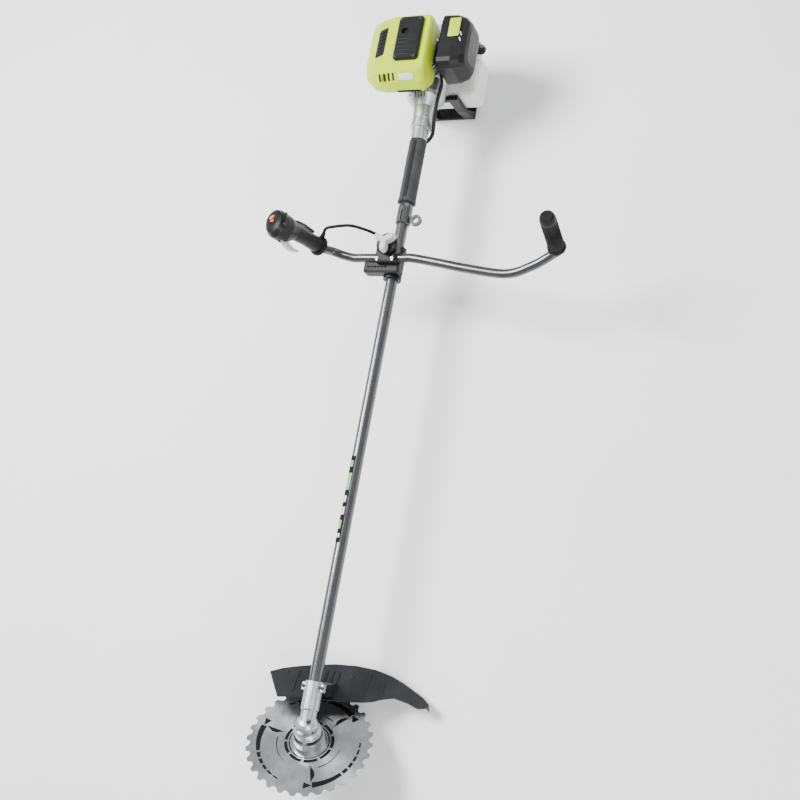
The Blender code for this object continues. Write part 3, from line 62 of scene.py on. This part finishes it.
SHEATH_R, CONDUIT_R = 0.0034, 0.0044  # what is drawn round the route
BLADE_R, BLADE_DROP, BLADE_THICK = 0.1275, 0.0541, 0.0018  # the drop is below the crossing
GUARD_LIFT, GUARD_THICK = 0.030, 0.003  # the guard's panel above the blade's middle
PRINT_THICK, FILM_GAP = 0.00012, 0.00005

# ---- places and directions -------------------------------------------------------------------
X, Y, Z = Vector((1, 0, 0)), Vector((0, 1, 0)), Vector((0, 0, 1))
HEAD_ANGLE, HEAD_TWIST = math.radians(55.5), math.radians(12)
TWISTED = Vector((0, math.sin(HEAD_TWIST), math.cos(HEAD_TWIST)))
HEAD_LEFT = Vector((0, math.cos(HEAD_TWIST), -math.sin(HEAD_TWIST)))
HEAD_UP = -math.cos(HEAD_ANGLE) * X + math.sin(HEAD_ANGLE) * TWISTED
HEAD_FWD = math.sin(HEAD_ANGLE) * X + math.cos(HEAD_ANGLE) * TWISTED
CROSSING = Vector((1.471, 0, BOOM_Z))  # where the boom's axis meets the blade's
RIGHT_BASE = Vector((BAR_X - 0.007, -0.147, BOOM_Z + 0.073))
RIGHT_UP = Vector((0.012, -0.26, 0.846)).normalized()
RIGHT_FWD = (X - X.dot(RIGHT_UP) * RIGHT_UP).normalized()
RIGHT_SIDE = RIGHT_UP.cross(RIGHT_FWD)
LEFT_BASE = Vector((BAR_X - 0.005, 0.386, BOOM_Z + 0.073))
LEFT_UP = Vector((-0.070, 0.080, 0.846)).normalized()
CAP_AXIS = Vector((-0.62, 0.30, 0.72)).normalized()


def at(x, y, z):
    """A point, with z measured from the boom's axis."""
    return Vector((x, y, BOOM_Z + z))


def head(forward, left, up):
    """A point in the gear head's own directions, measured from the crossing."""
    return CROSSING + forward * HEAD_FWD + left * HEAD_LEFT + up * HEAD_UP


def across(degrees):
    """The direction across the boom at this angle from +Z towards +Y."""
    t = math.radians(degrees)
    return Vector((0, math.sin(t), math.cos(t)))


def axes(origin, u, v, w):
    """A matrix whose local X, Y and Z are u, v and w."""
    m = Matrix((u, v, w)).transposed().to_4x4()
    m.translation = origin
    return m


def facing(origin, normal, along=X):
    """A matrix whose local Z is normal and whose local X is as near as possible to along."""
    normal = normal.normalized()
    u = (along - along.dot(normal) * normal).normalized()
    return axes(origin, u, normal.cross(u), normal)


# ---- materials -------------------------------------------------------------------------------
EDGE_LIGHTEN_FROM, EDGE_LIGHTEN_TO, EDGE_LIGHTEN_MOST = 0.50, 0.62, 0.35  # pointiness at which an edge turns lighter, and how far
SMOOTHER, ROUGHER = 0.07, 0.09  # how far the roughness varies
BUMP_DEPTH = 0.0004
BRUSH_STRETCH, DISC_BRUSH = (6, 1400, 1400), 1200.0  # scratches along X, and on a disc


def material(name, colour, rough, metal=0.0, grain=900.0, bump=0.12, mottle=0.12,
             mottle_scale=35.0, brushed=False, radial=False, coat=0.0, subsurface=0.0, spec=0.5):
    """A Principled finish with mottled colour, lighter sharp edges, varied roughness and fine
    grain.
    brushed adds scratches, and radial turns the gloss round local Z."""
    m = bpy.data.materials.new(name)
    m.use_nodes = True
    new, link = m.node_tree.nodes.new, m.node_tree.links.new
    shader = m.node_tree.nodes["Principled BSDF"]
    place = new("ShaderNodeTexCoord").outputs["Object"]

    def noise(scale, detail, vector):
        node = new("ShaderNodeTexNoise")
        node.inputs["Scale"].default_value = scale
        node.inputs["Detail"].default_value = detail
        link(vector, node.inputs["Vector"])
        return node.outputs["Fac"]

    def remap(value, from_low, from_high, to_low, to_high):
        node = new("ShaderNodeMapRange")
        for socket, number in (("From Min", from_low), ("From Max", from_high),
                               ("To Min", to_low), ("To Max", to_high)):
            node.inputs[socket].default_value = number
        link(value, node.inputs["Value"])
        return node.outputs["Result"]

    large = noise(mottle_scale, 5, place)
    ramp = new("ShaderNodeValToRGB")
    dark = [c * (1 - mottle) for c in colour]
    light = [min(1, c * (1 + mottle)) for c in colour]
    for stop, position, shade in zip(ramp.color_ramp.elements, (0.35, 0.68), (dark, light)):
        stop.position, stop.color = position, (*shade, 1)
    link(large, ramp.inputs["Fac"])

    # A sharp edge is lighter: a paler tint of the same colour.
    edge = remap(new("ShaderNodeNewGeometry").outputs["Pointiness"],
                 EDGE_LIGHTEN_FROM, EDGE_LIGHTEN_TO, 0, EDGE_LIGHTEN_MOST)
    lightened_edge = new("ShaderNodeMix")
    lightened_edge.data_type = "RGBA"
    lightened_edge.inputs["B"].default_value = (*[min(1, c * 1.5 + 0.003) for c in colour], 1)
    link(edge, lightened_edge.inputs["Factor"])
    link(ramp.outputs["Color"], lightened_edge.inputs["A"])
    link(lightened_edge.outputs["Result"], shader.inputs["Base Color"])
    link(remap(large, 0, 1, max(0.04, rough - SMOOTHER), min(1, rough + ROUGHER)),
         shader.inputs["Roughness"])

    height = noise(grain, 2, place)
    if brushed:
        stretch = new("ShaderNodeMapping")
        stretch.inputs["Scale"].default_value = (1, 1, 1) if radial else BRUSH_STRETCH
        link(place, stretch.inputs["Vector"])
        both = new("ShaderNodeMath")
        both.operation = "ADD"
        link(height, both.inputs[0])
        link(noise(DISC_BRUSH if radial else 1.0, 2, stretch.outputs["Vector"]), both.inputs[1])
        height = both.outputs["Value"]
    raised = new("ShaderNodeBump")
    raised.inputs["Strength"].default_value = bump
    raised.inputs["Distance"].default_value = BUMP_DEPTH
    link(height, raised.inputs["Height"])
    link(raised.outputs["Normal"], shader.inputs["Normal"])
    if radial:
        tangent = new("ShaderNodeTangent")
        tangent.direction_type = "RADIAL"
        tangent.axis = "Z"
        link(tangent.outputs["Tangent"], shader.inputs["Tangent"])
        shader.inputs["Anisotropic"].default_value = 0.85
    shader.inputs["Metallic"].default_value = metal
    shader.inputs["Specular IOR Level"].default_value = spec
    shader.inputs["Coat Weight"].default_value = coat
    shader.inputs["Subsurface Weight"].default_value = subsurface
    shader.inputs["Subsurface Radius"].default_value = (0.01, 0.01, 0.01)
    return m


LIME = material("lime", (0.42, 0.58, 0.0), 0.34, grain=1500, bump=0.05, mottle=0.04, spec=0.3)
BLACK = material("black_moulding", (0.0075, 0.0075, 0.0085), 0.38, grain=1300, bump=0.22,
                 mottle=0.25, spec=0.22)
RUBBER = material("rubber", (0.0065, 0.0065, 0.007), 0.52, bump=0.35, mottle=0.3, spec=0.18)
GREY = material("guard_grey", (0.014, 0.0145, 0.016), 0.34, grain=1100, bump=0.20, mottle=0.2,
                spec=0.28)
FOAM = material("sleeve_foam", (0.045, 0.046, 0.049), 0.72, grain=700, bump=0.5, mottle=0.2,
                spec=0.15)
LIGHT = material("light_moulding", (0.42, 0.43, 0.42), 0.42, grain=1200, mottle=0.07)
TUBE = material("tube_paint", (0.082, 0.083, 0.088), 0.27, 0.75, grain=1700, bump=0.06,
                mottle=0.10, coat=0.3)
CAST = material("die_cast", (0.43, 0.44, 0.45), 0.40, 1.0, grain=650, bump=0.42, mottle=0.16)
STEEL = material("ground_steel", (0.60, 0.60, 0.61), 0.27, 1.0, grain=1500, bump=0.08,
                 brushed=True)
BLADE = material("blade_steel", (0.56, 0.57, 0.58), 0.22, 1.0, grain=1700, bump=0.06,
                 mottle=0.10, brushed=True, radial=True)
DARK = material("black_oxide", (0.055, 0.055, 0.058), 0.42, 0.7, bump=0.25, mottle=0.25)
TANK = material("milky_tank", (0.74, 0.76, 0.72), 0.42, grain=800, mottle=0.05, subsurface=0.3)
ORANGE = material("orange", (0.58, 0.15, 0.025), 0.38, grain=1300, bump=0.10, mottle=0.06)
CERAMIC = material("ceramic", (0.85, 0.84, 0.80), 0.2, bump=0.03, mottle=0.04)
SPONGE = material("filter_sponge", (0.05, 0.045, 0.04), 0.95, grain=420, bump=0.9, mottle=0.4)
BRONZE = material("bronze", (0.42, 0.27, 0.12), 0.4, 0.9, bump=0.2)
INK = material("black_print", (0.004, 0.004, 0.004), 0.6, grain=1500, bump=0.03, mottle=0.35,
               spec=0.1)
PALE = material("pale_print", (0.60, 0.61, 0.60), 0.45, grain=1500, bump=0.03, mottle=0.06)
LEAF = material("green_print", (0.20, 0.48, 0.05), 0.42, grain=1500, bump=0.03, mottle=0.08)
FLOOR = material("floor", (0.93, 0.93, 0.925), 0.75, grain=120, bump=0.02, mottle=0.012,
                 mottle_scale=3)

FINISH = {
    "lime_shell": LIME, "black_plastic": BLACK, "black_rubber": RUBBER, "grey_plastic": GREY,
    "grey_foam_rubber": FOAM, "light_plastic": LIGHT, "grey_tube": TUBE, "die_cast": CAST,
    "bright_steel": STEEL, "dark_steel": DARK, "tank_plastic": TANK, "orange_plastic": ORANGE,
    "filter_foam": SPONGE, "white_ceramic": CERAMIC, "bronze": BRONZE,
}
SLOT_OF = {entry["node"]: entry["material_slot"] for entry in frame["record"]["subparts"]}
for name, node in frame["nodes"].items():
    finish = FINISH[SLOT_OF[name]]
    if node.material_slots:
        for place in node.material_slots:
            place.material = finish
    else:
        node.data.materials.append(finish)


# ---- making pieces ---------------------------------------------------------------------------
SHARP_ANGLE = math.radians(38)


def piece(name, bm, finish, body, matrix=None, bevel=0.0, replaces=()):
    """A visible piece from a mesh; without a body it rides none."""
    bmesh.ops.recalc_face_normals(bm, faces=bm.faces)
    mesh = bpy.data.meshes.new(name)
    bm.to_mesh(mesh)
    bm.free()
    mesh.shade_smooth()
    mesh.set_sharp_from_angle(angle=SHARP_ANGLE)
    obj = bpy.data.objects.new(name, mesh)
    bpy.context.scene.collection.objects.link(obj)
    mesh.materials.append(finish)
    if matrix is not None:
        obj.matrix_world = matrix
    if bevel:
        soft = obj.modifiers.new("bevel", "BEVEL")
        soft.width, soft.segments, soft.limit_method = bevel, 3, "ANGLE"
    if body:
        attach(obj, body)
    if replaces:
        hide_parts(*replaces)
    return obj


def add_skin(bm, loops, closed=False):
    """Adds a skin over loops of points, with its ends capped or, if closed, joined."""
    rows = [[bm.verts.new(p) for p in loop] for loop in loops]
    joined = [*rows, rows[0]] if closed else rows
    for a, b in zip(joined, joined[1:]):
        for i in range(len(a)):
            j = (i + 1) % len(a)
            bm.faces.new((a[i], a[j], b[j], b[i]))
    if not closed:
        bm.faces.new(rows[0])
        bm.faces.new(rows[-1])


def skin(loops, closed=False):
    bm = bmesh.new()
    add_skin(bm, loops, closed)
    return bm


def on_circle(r, t, z):
    return Vector((r * math.cos(t), r * math.sin(t), z))


def tube(points, radius, count):
    """A round tube along points, with flat ends."""
    steps = [(b - a).normalized() for a, b in zip(points, points[1:])]
    tangents = [steps[0], *((a + b).normalized() for a, b in zip(steps, steps[1:])), steps[-1]]
    side = tangents[0].orthogonal().normalized()
    loops = []
    for point, tangent in zip(points, tangents):
        side = (side - side.dot(tangent) * tangent).normalized()
        other = tangent.cross(side)
        turns = [2 * math.pi * i / count for i in range(count)]
        loops.append([point + radius * (math.cos(t) * side + math.sin(t) * other) for t in turns])
    return skin(loops)


def smooth(points, per_span):
    """A Catmull-Rom curve through points."""
    ends = [2 * points[0] - points[1], *points, 2 * points[-1] - points[-2]]
    route = []
    for a, b, c, d in zip(ends, ends[1:], ends[2:], ends[3:]):
        for i in range(per_span):
            t = i / per_span
            route.append(0.5 * (2 * b + (c - a) * t + (2 * a - 5 * b + 4 * c - d) * t**2
                                + (3 * b - a - 3 * c + d) * t**3))
    return [*route, points[-1]]


def slab(width, depth, height, corner):
    """A pad with round corners and a chamfered upper edge, centred on local X and Y."""
    corners = ((1, -1, -90), (1, 1, 0), (-1, 1, 90), (-1, -1, 180))  # signs and first angle
    steps = 5

    def outline(inset, z):
        points = []
        for sx, sy, start in corners:
            centre = Vector((sx * (width / 2 - corner), sy * (depth / 2 - corner), 0))
            for i in range(steps):
                t = math.radians(start + 90 * i / (steps - 1))
                points.append(centre + on_circle(corner - inset, t, z))
        return points
    soft = min(corner * 0.5, height * 0.5)
    return skin([outline(0, 0), outline(0, height - soft),
                 outline(soft * 0.4, height - soft * 0.3), outline(soft, height)])


def bolt(name, origin, normal, radius, body, finish=DARK, height=0.004):
    """A cap screw with a washer face and a hexagonal socket."""
    count = 36

    def loop(r, z, six=False):
        points = []
        for i in range(count):
            t = 2 * math.pi * i / count
            away = t % (math.pi / 3) - math.pi / 6
            points.append(on_circle(r / math.cos(away) if six else r, t, z))
        return points
    loops = [loop(radius * 1.25, -0.0005), loop(radius * 1.25, 0.0006), loop(radius, 0.0007),
             loop(radius, height - 0.0005), loop(radius * 0.88, height),
             loop(radius * 0.50, height, True), loop(radius * 0.48, height * 0.4, True)]
    piece(name, skin(loops), finish, body, facing(origin, normal))


def rings(name, base, axis, body, finish, ribs, thick=0.0016):
    """Moulded ribs round a grip, sleeve or collar: a rounded band for each (offset, radius)."""
    count = 48
    turns = [2 * math.pi * i / count for i in range(count)]
    bm = bmesh.new()
    for offset, r in ribs:
        profile = ((r - 0.0006, offset - thick), (r + 0.0003, offset - thick * 0.9),
                   (r + 0.0010, offset), (r + 0.0003, offset + thick * 0.9),
                   (r - 0.0006, offset + thick))
        rib = skin([[on_circle(reach, t, z) for t in turns] for reach, z in profile], closed=True)
        mesh = bpy.data.meshes.new("rib")
        rib.to_mesh(mesh)
        rib.free()
        bm.from_mesh(mesh)
        bpy.data.meshes.remove(mesh)
    piece(name, bm, finish, body, facing(base, axis))


def wrap(name, x0, x1, turn0, turn1, finish, radius=BOOM_R, lift=0.00025):
    """A thin film on a tube along X, between two angles measured from +Z towards +Y."""
    steps = 14
    turns = [across(turn0 + (turn1 - turn0) * i / steps) for i in range(steps + 1)]
    ring = ([(radius + FILM_GAP) * c for c in turns]
            + [(radius + lift) * c for c in reversed(turns)])
    bm = skin([[at(x, 0, 0) + p for p in ring] for x in (x0, x1)])
    piece(name, bm, finish, "frame")


# ---- boom and sleeve -------------------------------------------------------------------------
wrap("boom_strip", 0.925, 1.108, -75, 8, INK)
for k, (x0, x1, turn0, turn1, finish) in enumerate((
    (0.935, 0.948, -60, -8, LEAF), (0.962, 0.998, -52, -30, PALE), (0.962, 0.998, -20, -2, LEAF),
    (1.010, 1.024, -58, -10, PALE), (1.034, 1.050, -48, -6, PALE), (1.062, 1.080, -60, -14, LEAF),
    (1.090, 1.098, -56, -8, PALE),
)):
    wrap(f"boom_mark_{k}", x0, x1, turn0, turn1, finish, lift=0.0004)

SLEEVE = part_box("hip_sleeve")
sleeve_r = (SLEEVE[1].y - SLEEVE[0].y) / 2
wrap("sleeve_groove", SLEEVE[0].x + 0.006, SLEEVE[1].x - 0.010, -14, 14, RUBBER,
     radius=sleeve_r - 0.0016, lift=0.0012)
rings("sleeve_ends", at(SLEEVE[0].x, 0, 0), X, "frame", RUBBER,
      [(offset, sleeve_r - 0.0004) for offset in (0.004, SLEEVE[1].x - SLEEVE[0].x - 0.004)],
      0.0026)

# ---- handlebar, grips, clamp -----------------------------------------------------------------
GRIP_STEPS = (0.098, 0.050, 0.002, -0.010)  # up each grip, from well inside it to below its foot
bar_points = [RIGHT_BASE + u * RIGHT_UP for u in GRIP_STEPS] + [
    at(BAR_X + x, y, BAR_Z + share * BAR_RISE) for x, y, share in (
        (-0.011, -0.134, 0.24), (-0.006, -0.111, 0.01), (0, -0.084, 0), (0, -0.060, 0),
        (0, 0.030, 0), (0, 0.056, 0), (0.010, 0.115, 0), (0.024, 0.190, 0),
        (0.034, 0.274, 0.02), (0.020, 0.330, 0.26), (0.002, 0.368, 0.50),
    )
] + [LEFT_BASE + u * LEFT_UP for u in reversed(GRIP_STEPS)]
piece("bar_tube", tube(smooth(bar_points, 10), BAR_R - 0.0001, 32), TUBE, "handlebar_body",
      replaces=["handlebar"])
rings("plain_grip_ribs", LEFT_BASE, LEFT_UP, "handlebar_body", RUBBER,
      [(0.016 + 0.0066 * i, 0.0161) for i in range(14)], 0.0013)
rings("throttle_grip_ribs", RIGHT_BASE, RIGHT_UP, "handlebar_body", RUBBER,
      [(0.0075, 0.0215), (0.0115, 0.0208)], 0.0016)
for k, (up, forward, side) in enumerate((
    (0.112, 0.006, 0.0262), (0.138, 0.010, 0.0262), (0.138, -0.014, 0.0235),
)):
    bolt(f"throttle_screw_{k}",
         RIGHT_BASE + forward * RIGHT_FWD + side * RIGHT_SIDE + up * RIGHT_UP, RIGHT_SIDE,
         0.0028, "handlebar_body", height=0.002)
for k in range(6):
    piece(f"bracket_rib_{k}", slab(0.0030, 0.0040, 0.0030, 0.0008), RUBBER, "frame",
          facing(at(BAR_X + 0.020, -0.046 + 0.0080 * k, 0.0325), Z, X))
BRACKET_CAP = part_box("bracket_cap")
for k, y in enumerate((-0.019, 0.016)):
    bolt(f"bracket_screw_{k}", Vector((0.4955, y, BRACKET_CAP[1].z - 0.0082)), Z, 0.0032,
         "frame", STEEL, 0.0045)

# ---- throttle cable --------------------------------------------------------------------------
under_boom, under_sleeve, under_neck = (
    -(radius + CABLE_R + CABLE_GAP) for radius in (BOOM_R, 0.0167, 0.0185))
foot = RIGHT_BASE - 0.0180 * RIGHT_FWD + 0.0145 * RIGHT_SIDE + 0.016 * RIGHT_UP
cable_points = [foot, foot + Vector((-0.012, 0.010, 0.010))] + [at(*p) for p in (
    (0.446, -0.108, 0.104), (0.437, -0.078, 0.090), (0.434, -0.053, 0.062),
    (0.430, -0.036, 0.026), (0.422, -0.020, -0.004), (0.414, -0.007, under_sleeve + 0.001),
    (0.397, 0, under_sleeve), (0.359, 0, under_sleeve), (0.341, 0, under_boom - 0.002),
    (0.328, 0, under_boom), (0.2675, 0, under_boom), (0.2275, 0, under_boom),
    (0.2035, 0, under_boom - 0.001), (0.1855, 0.0005, under_neck),
    (0.176, 0.0135, under_neck + 0.0035), (0.164, 0.0240, -0.0135), (0.150, 0.0300, 0.000),
    (0.128, 0.0350, 0.016), (0.100, 0.0420, 0.030), (0.074, 0.0525, 0.044),
    (0.054, 0.0520, 0.0555), (0.034, 0.0510, 0.060),
)]
cable_mesh = piece("cable_sheath", tube(smooth(cable_points, 8), SHEATH_R, 20), RUBBER, None,
                   replaces=["throttle_cable"])
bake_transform(cable_mesh)
piece("cable_conduit", tube(smooth(cable_points[16:22], 14), CONDUIT_R, 20), BLACK, "frame")
rings("cable_boot", foot, cable_points[1] - foot, "handlebar_body", RUBBER,
      [(-0.002 + 0.003 * i, 0.0046 - 0.0004 * i) for i in range(4)], 0.0014)

# ---- gear head and blade ---------------------------------------------------------------------
TEETH, TOOTH_DEPTH, BORE_R, BLADE_EDGE = 30, 0.0085, 0.0127, 0.0003
# One tooth's pitch: how far round it, and how deep below the tip as a share of the depth.
TOOTH = ((0.0, 0.02), (0.12, 0.0), (0.24, 0.03), (0.345, 0.06), (0.365, 0.30), (0.40, 0.66),
         (0.46, 0.92), (0.54, 1.0), (0.64, 1.0), (0.75, 0.90), (0.85, 0.62), (0.935, 0.30))
BLADE_MATRIX = axes(CROSSING, HEAD_FWD, HEAD_LEFT, HEAD_UP)
blade_under, blade_top = -BLADE_DROP - BLADE_THICK, -BLADE_DROP


def blade_outline(z, inset=0.0):
    return [on_circle(BLADE_R - inset - TOOTH_DEPTH * depth,
                      2 * math.pi * (tooth + share) / TEETH, z)
            for tooth in range(TEETH) for share, depth in TOOTH]


def blade_bore(z):
    count = TEETH * len(TOOTH)
    return [on_circle(BORE_R, 2 * math.pi * i / count, z) for i in range(count)]


blade_loops = [blade_outline(blade_under, BLADE_EDGE), blade_outline(blade_under + BLADE_EDGE),
               blade_outline(blade_top - BLADE_EDGE), blade_outline(blade_top, BLADE_EDGE),
               blade_bore(blade_top), blade_bore(blade_under)]
piece("cutting_disc", skin(blade_loops, closed=True), BLADE, "blade_rotor",
      BLADE_MATRIX, replaces=["blade"])


def arc_band(bm, r0, r1, start, end, taper=1.0, steps=20):
    """A flat band on the blade between two radii; taper narrows it towards its end."""
    low, high = blade_top, blade_top + PRINT_THICK
    mid = (r0 + r1) / 2
    loops = []
    for i in range(steps + 1):
        share = i / steps
        t = math.radians(start + (end - start) * share)
        half = (r1 - r0) / 2 * (1 + (taper - 1) * share)
        loops.append([on_circle(r, t, z) for r, z in (
            (mid - half, low), (mid + half, low), (mid + half, high), (mid - half, high))])
    add_skin(bm, loops)


def arrow_head(bm, r, angle, size):
    """A flat triangle on the blade, pointing round it."""
    t = math.radians(angle)
    out, ahead = on_circle(1, t, 0), Vector((-math.sin(t), math.cos(t), 0))
    base = r * out + blade_top * Z
    flat = [base + size * 0.6 * out, base - size * 0.6 * out, base + size * 1.3 * ahead]
    add_skin(bm, [flat, [p + PRINT_THICK * Z for p in flat]])


bm = bmesh.new()
for k in range(3):
    start = 20 + 120 * k
    arc_band(bm, 0.0960, 0.1085, start, start + 34, 0.62)
    for i in range(5):
        arc_band(bm, 0.0988 + 0.0004 * i, 0.1062 - 0.0006 * i,
                 start + 36.5 + 9.2 * i, start + 43.2 + 9.2 * i, 0.9)
    arrow_head(bm, 0.1020, start - 9.5, 0.0125)
    arc_band(bm, 0.0560, 0.0960, start - 1.5, start + 4.5, 0.25, steps=6)
    arc_band(bm, 0.0640, 0.0665, start + 12, start + 66, 0.3)
for r0, r1, gap in ((0.0440, 0.0500, 3.0), (0.0388, 0.0412, 1.5)):
    for k in range(9):
        arc_band(bm, r0, r1, 40 * k + gap, 40 * k + 40 - gap)
piece("disc_print", bm, INK, "blade_rotor", BLADE_MATRIX)

for k, sign in enumerate((1, -1)):
    bolt(f"collar_bolt_{k}", at(1.399, sign * 0.0208, 0.006), Z, 0.0030, "frame")
rings("collar_ribs", at(1.388, 0, 0), X, "frame", CAST,
      [(0.004 + 0.0058 * i, 0.0183) for i in range(5)], 0.0014)
rings("neck_line", at(1.388, 0, 0), X, "frame", DARK, [(0.0575, 0.0161)], 0.0010)
rings("bell_ribs", head(0, 0, -0.0235), HEAD_UP, "frame", CAST,
      [(0.0005, 0.0260), (0.0060, 0.0258)], 0.0012)
bolt("grease_screw", head(0.004, 0.006, 0.0146), HEAD_UP, 0.0040, "frame", height=0.003)
for k in range(4):
    corner = on_circle(0.0205, math.radians(45 + 90 * k), 0)
    bolt(f"case_bolt_{k}", head(corner.x, corner.y, -0.0025), HEAD_UP, 0.0024, "frame",
         height=0.003)

# ---- blade guard -----------------------------------------------------------------------------
panel = -BLADE_DROP - BLADE_THICK / 2 + GUARD_LIFT + GUARD_THICK  # the panel's upper face
for k in range(5):
    piece(f"guard_slot_{k}", slab(0.030, 0.0050, 0.0016, 0.0022), RUBBER, "frame",
          facing(head(-0.140, -0.030 + 0.013 * k, panel - 0.0002), HEAD_UP,
                                  HEAD_FWD))
for k, (forward, left, width, depth) in enumerate((
    (-0.134, 0.085, 0.070, 0.0030), (-0.131, 0.120, 0.055, 0.0026),
    (-0.116, -0.062, 0.056, 0.0028),
)):
    piece(f"guard_rib_{k}", slab(width, depth, 0.0022, 0.0012), GREY, "frame",
          facing(head(forward, left, panel - 0.0003), HEAD_UP, HEAD_FWD), bevel=0.0003)
for k, (forward, left, lift) in enumerate((
    (-0.103, -0.017, 0.0045), (-0.103, 0.017, 0.0045), (-0.150, 0.050, 0), (-0.136, -0.085, 0),
)):
    bolt(f"guard_bolt_{k}", head(forward, left, panel + lift), HEAD_UP, 0.0032, "frame",
         height=0.0028)

# ---- clutch housing --------------------------------------------------------------------------
BELL_BOLT_RADIUS = 0.0372
for k, turn in enumerate((-128, -52, 52, 128)):
    bolt(f"bell_bolt_{k}", at(0.0800, 0, 0) + BELL_BOLT_RADIUS * across(turn),
         X + 0.5 * across(turn), 0.0032, "frame")
rings("neck_bands", at(0.104, 0, 0), X, "frame", CAST,
      [(0.006, 0.0248), (0.014, 0.0240), (0.022, 0.0234)], 0.0018)
rings("damper_band", at(0.136, 0, 0), X, "frame", DARK,
      [(0.006, 0.0237), (0.014, 0.0237)], 0.0024)

# ---- engine cover ----------------------------------------------------------------------------
SHOULDER = Vector((0, -0.4472, 0.8944))  # normals of the cover's right shoulder and its slopes
UPPER_FRONT, LOWER_FRONT = Vector((0.68, 0, 0.73)), Vector((1, 0, -0.3))
for k in range(7):
    piece(f"vent_bar_{k}", slab(0.0055, 0.026, 0.0016, 0.0020), BLACK, "frame",
          facing(at(-0.020 + 0.0092 * k, -0.0728, 0.1237), SHOULDER, X))
piece("vent_frame", slab(0.070, 0.030, 0.0010, 0.0045), RUBBER, "frame",
      facing(at(0.0075, -0.0728, 0.1231), SHOULDER, X))
for k in range(4):
    piece(f"cover_vent_{k}", slab(0.0045, 0.018, 0.0012, 0.0018), RUBBER, "frame",
          facing(at(0.098 - 0.0008 * k, -0.060 + 0.0105 * k, 0.1243), UPPER_FRONT, Y))
piece("cover_badge", slab(0.036, 0.015, 0.0012, 0.0030), PALE, "frame",
      facing(at(0.0975, 0.002, 0.1240), UPPER_FRONT, Y), bevel=0.0003)
piece("cover_band", slab(0.056, 0.014, 0.0012, 0.0030), INK, "frame",
      facing(at(0.1105, -0.002, 0.0880), LOWER_FRONT, Y), bevel=0.0003)
plate_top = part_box("plug_cover")[1].z
for k, (x, y) in enumerate(((-0.037, -0.024), (-0.037, 0.020), (0.057, -0.024), (0.057, 0.020))):
    bolt(f"plate_screw_{k}", Vector((x, y, plate_top)), Z, 0.0028, "frame", height=0.0016)
for k in range(5):
    piece(f"plate_rib_{k}", slab(0.0028, 0.044, 0.0012, 0.0012), BLACK, "frame",
          facing(Vector((0.014 + 0.0095 * k, -0.003, plate_top - 0.0002)), Z, X))

# ---- air filter, starter and fuel cap --------------------------------------------------------
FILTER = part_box("air_filter_cover")
piece("filter_label", slab(0.046, 0.026, 0.0008, 0.0030), LIME, "frame",
      facing(Vector((-0.030, FILTER[0].y + 0.030, FILTER[1].z - 0.0006)), Z, X), bevel=0.0002)
for k, x in enumerate((-0.014, 0.000)):
    piece(f"filter_dash_{k}", slab(0.010, 0.0026, 0.0008, 0.0011), PALE, "frame",
          facing(Vector((x, 0.1050, FILTER[1].z - 0.0030)),
                                  Vector((0, 0.35, 1)), Vector((1, 0.5, 0))))

starter_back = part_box("starter_housing")[0].x
for k in range(10):
    radial = across(36 * k)
    piece(f"starter_vent_{k}", slab(0.016, 0.0052, 0.0014, 0.0022), RUBBER, "frame",
          facing(at(starter_back + 0.0004, 0, 0) + 0.033 * radial, -X, radial))
for k in range(4):
    bolt(f"starter_screw_{k}", at(starter_back, 0, 0) + 0.0455 * across(45 + 90 * k), -X, 0.0028,
         "frame", height=0.002)

KNURLS, KNURL_FROM, KNURL_TO = 24, 0.003, 0.0122
cap_base = at(-0.054, 0.080, -0.0565) + 0.018 * CAP_AXIS
bm = bmesh.new()
for k in range(KNURLS):
    t = 2 * math.pi * k / KNURLS
    out, ahead = on_circle(1, t, 0), Vector((-math.sin(t), math.cos(t), 0))
    corners = ((0.0160, -0.0010), (0.0173, -0.0006), (0.0173, 0.0006), (0.0160, 0.0010))
    add_skin(bm, [[a * out + b * ahead + z * Z for a, b in corners]
                  for z in (KNURL_FROM, KNURL_TO)])
piece("cap_knurl", bm, BLACK, "cap_body", facing(cap_base, CAP_AXIS))
piece("cap_grip", slab(0.024, 0.0055, 0.0042, 0.0024), BLACK, "cap_body",
      facing(cap_base + 0.0157 * CAP_AXIS, CAP_AXIS), bevel=0.0004)

# ---- camera, floor and light -----------------------------------------------------------------
camera = bpy.data.objects.new("camera", bpy.data.cameras.new("camera"))
bpy.context.scene.collection.objects.link(camera)
camera.matrix_world = axes(Vector((1.5065, 1.1419, 2.4416)), Vector((-0.1746, 0.9112, -0.3732)),
                           Vector((-0.9464, -0.0507, 0.3190)), Vector((0.2718, 0.4089, 0.8712)))
camera.data.lens, camera.data.sensor_width = 56.5, 36
bpy.context.scene.camera = camera

FLOOR_HALF, FLOOR_GAP = 12, 0.0005  # the gap keeps the floor clear of what stands on it
bm = bmesh.new()
bmesh.ops.create_grid(bm, x_segments=1, y_segments=1, size=FLOOR_HALF)
mesh = bpy.data.meshes.new("floor")
bm.to_mesh(mesh)
bm.free()
floor = bpy.data.objects.new("floor", mesh)
bpy.context.scene.collection.objects.link(floor)
mesh.materials.append(FLOOR)
floor.location.z = -FLOOR_GAP

world = bpy.data.worlds.new("studio")
bpy.context.scene.world = world
world.use_nodes = True
background = world.node_tree.nodes["Background"]
background.inputs["Color"].default_value = (0.95, 0.97, 1, 1)
background.inputs["Strength"].default_value = 0.55
LIT = Vector((0.75, 0, 0.1))  # what every lamp points at
for name, place, size, power in (
    ("key", (0.2, -1.6, 2.9), 1.3, 250), ("fill", (2.6, 1.9, 2.2), 1.6, 75),
    ("rear", (-1.6, 1.2, 1.9), 1.6, 30),
):
    light = bpy.data.lights.new(name, "AREA")
    light.size, light.energy = size, power
    lamp = bpy.data.objects.new(name, light)
    bpy.context.scene.collection.objects.link(lamp)
    lamp.location = place
    lamp.rotation_euler = (LIT - Vector(place)).to_track_quat("-Z", "Y").to_euler()

bpy.context.view_layer.update()
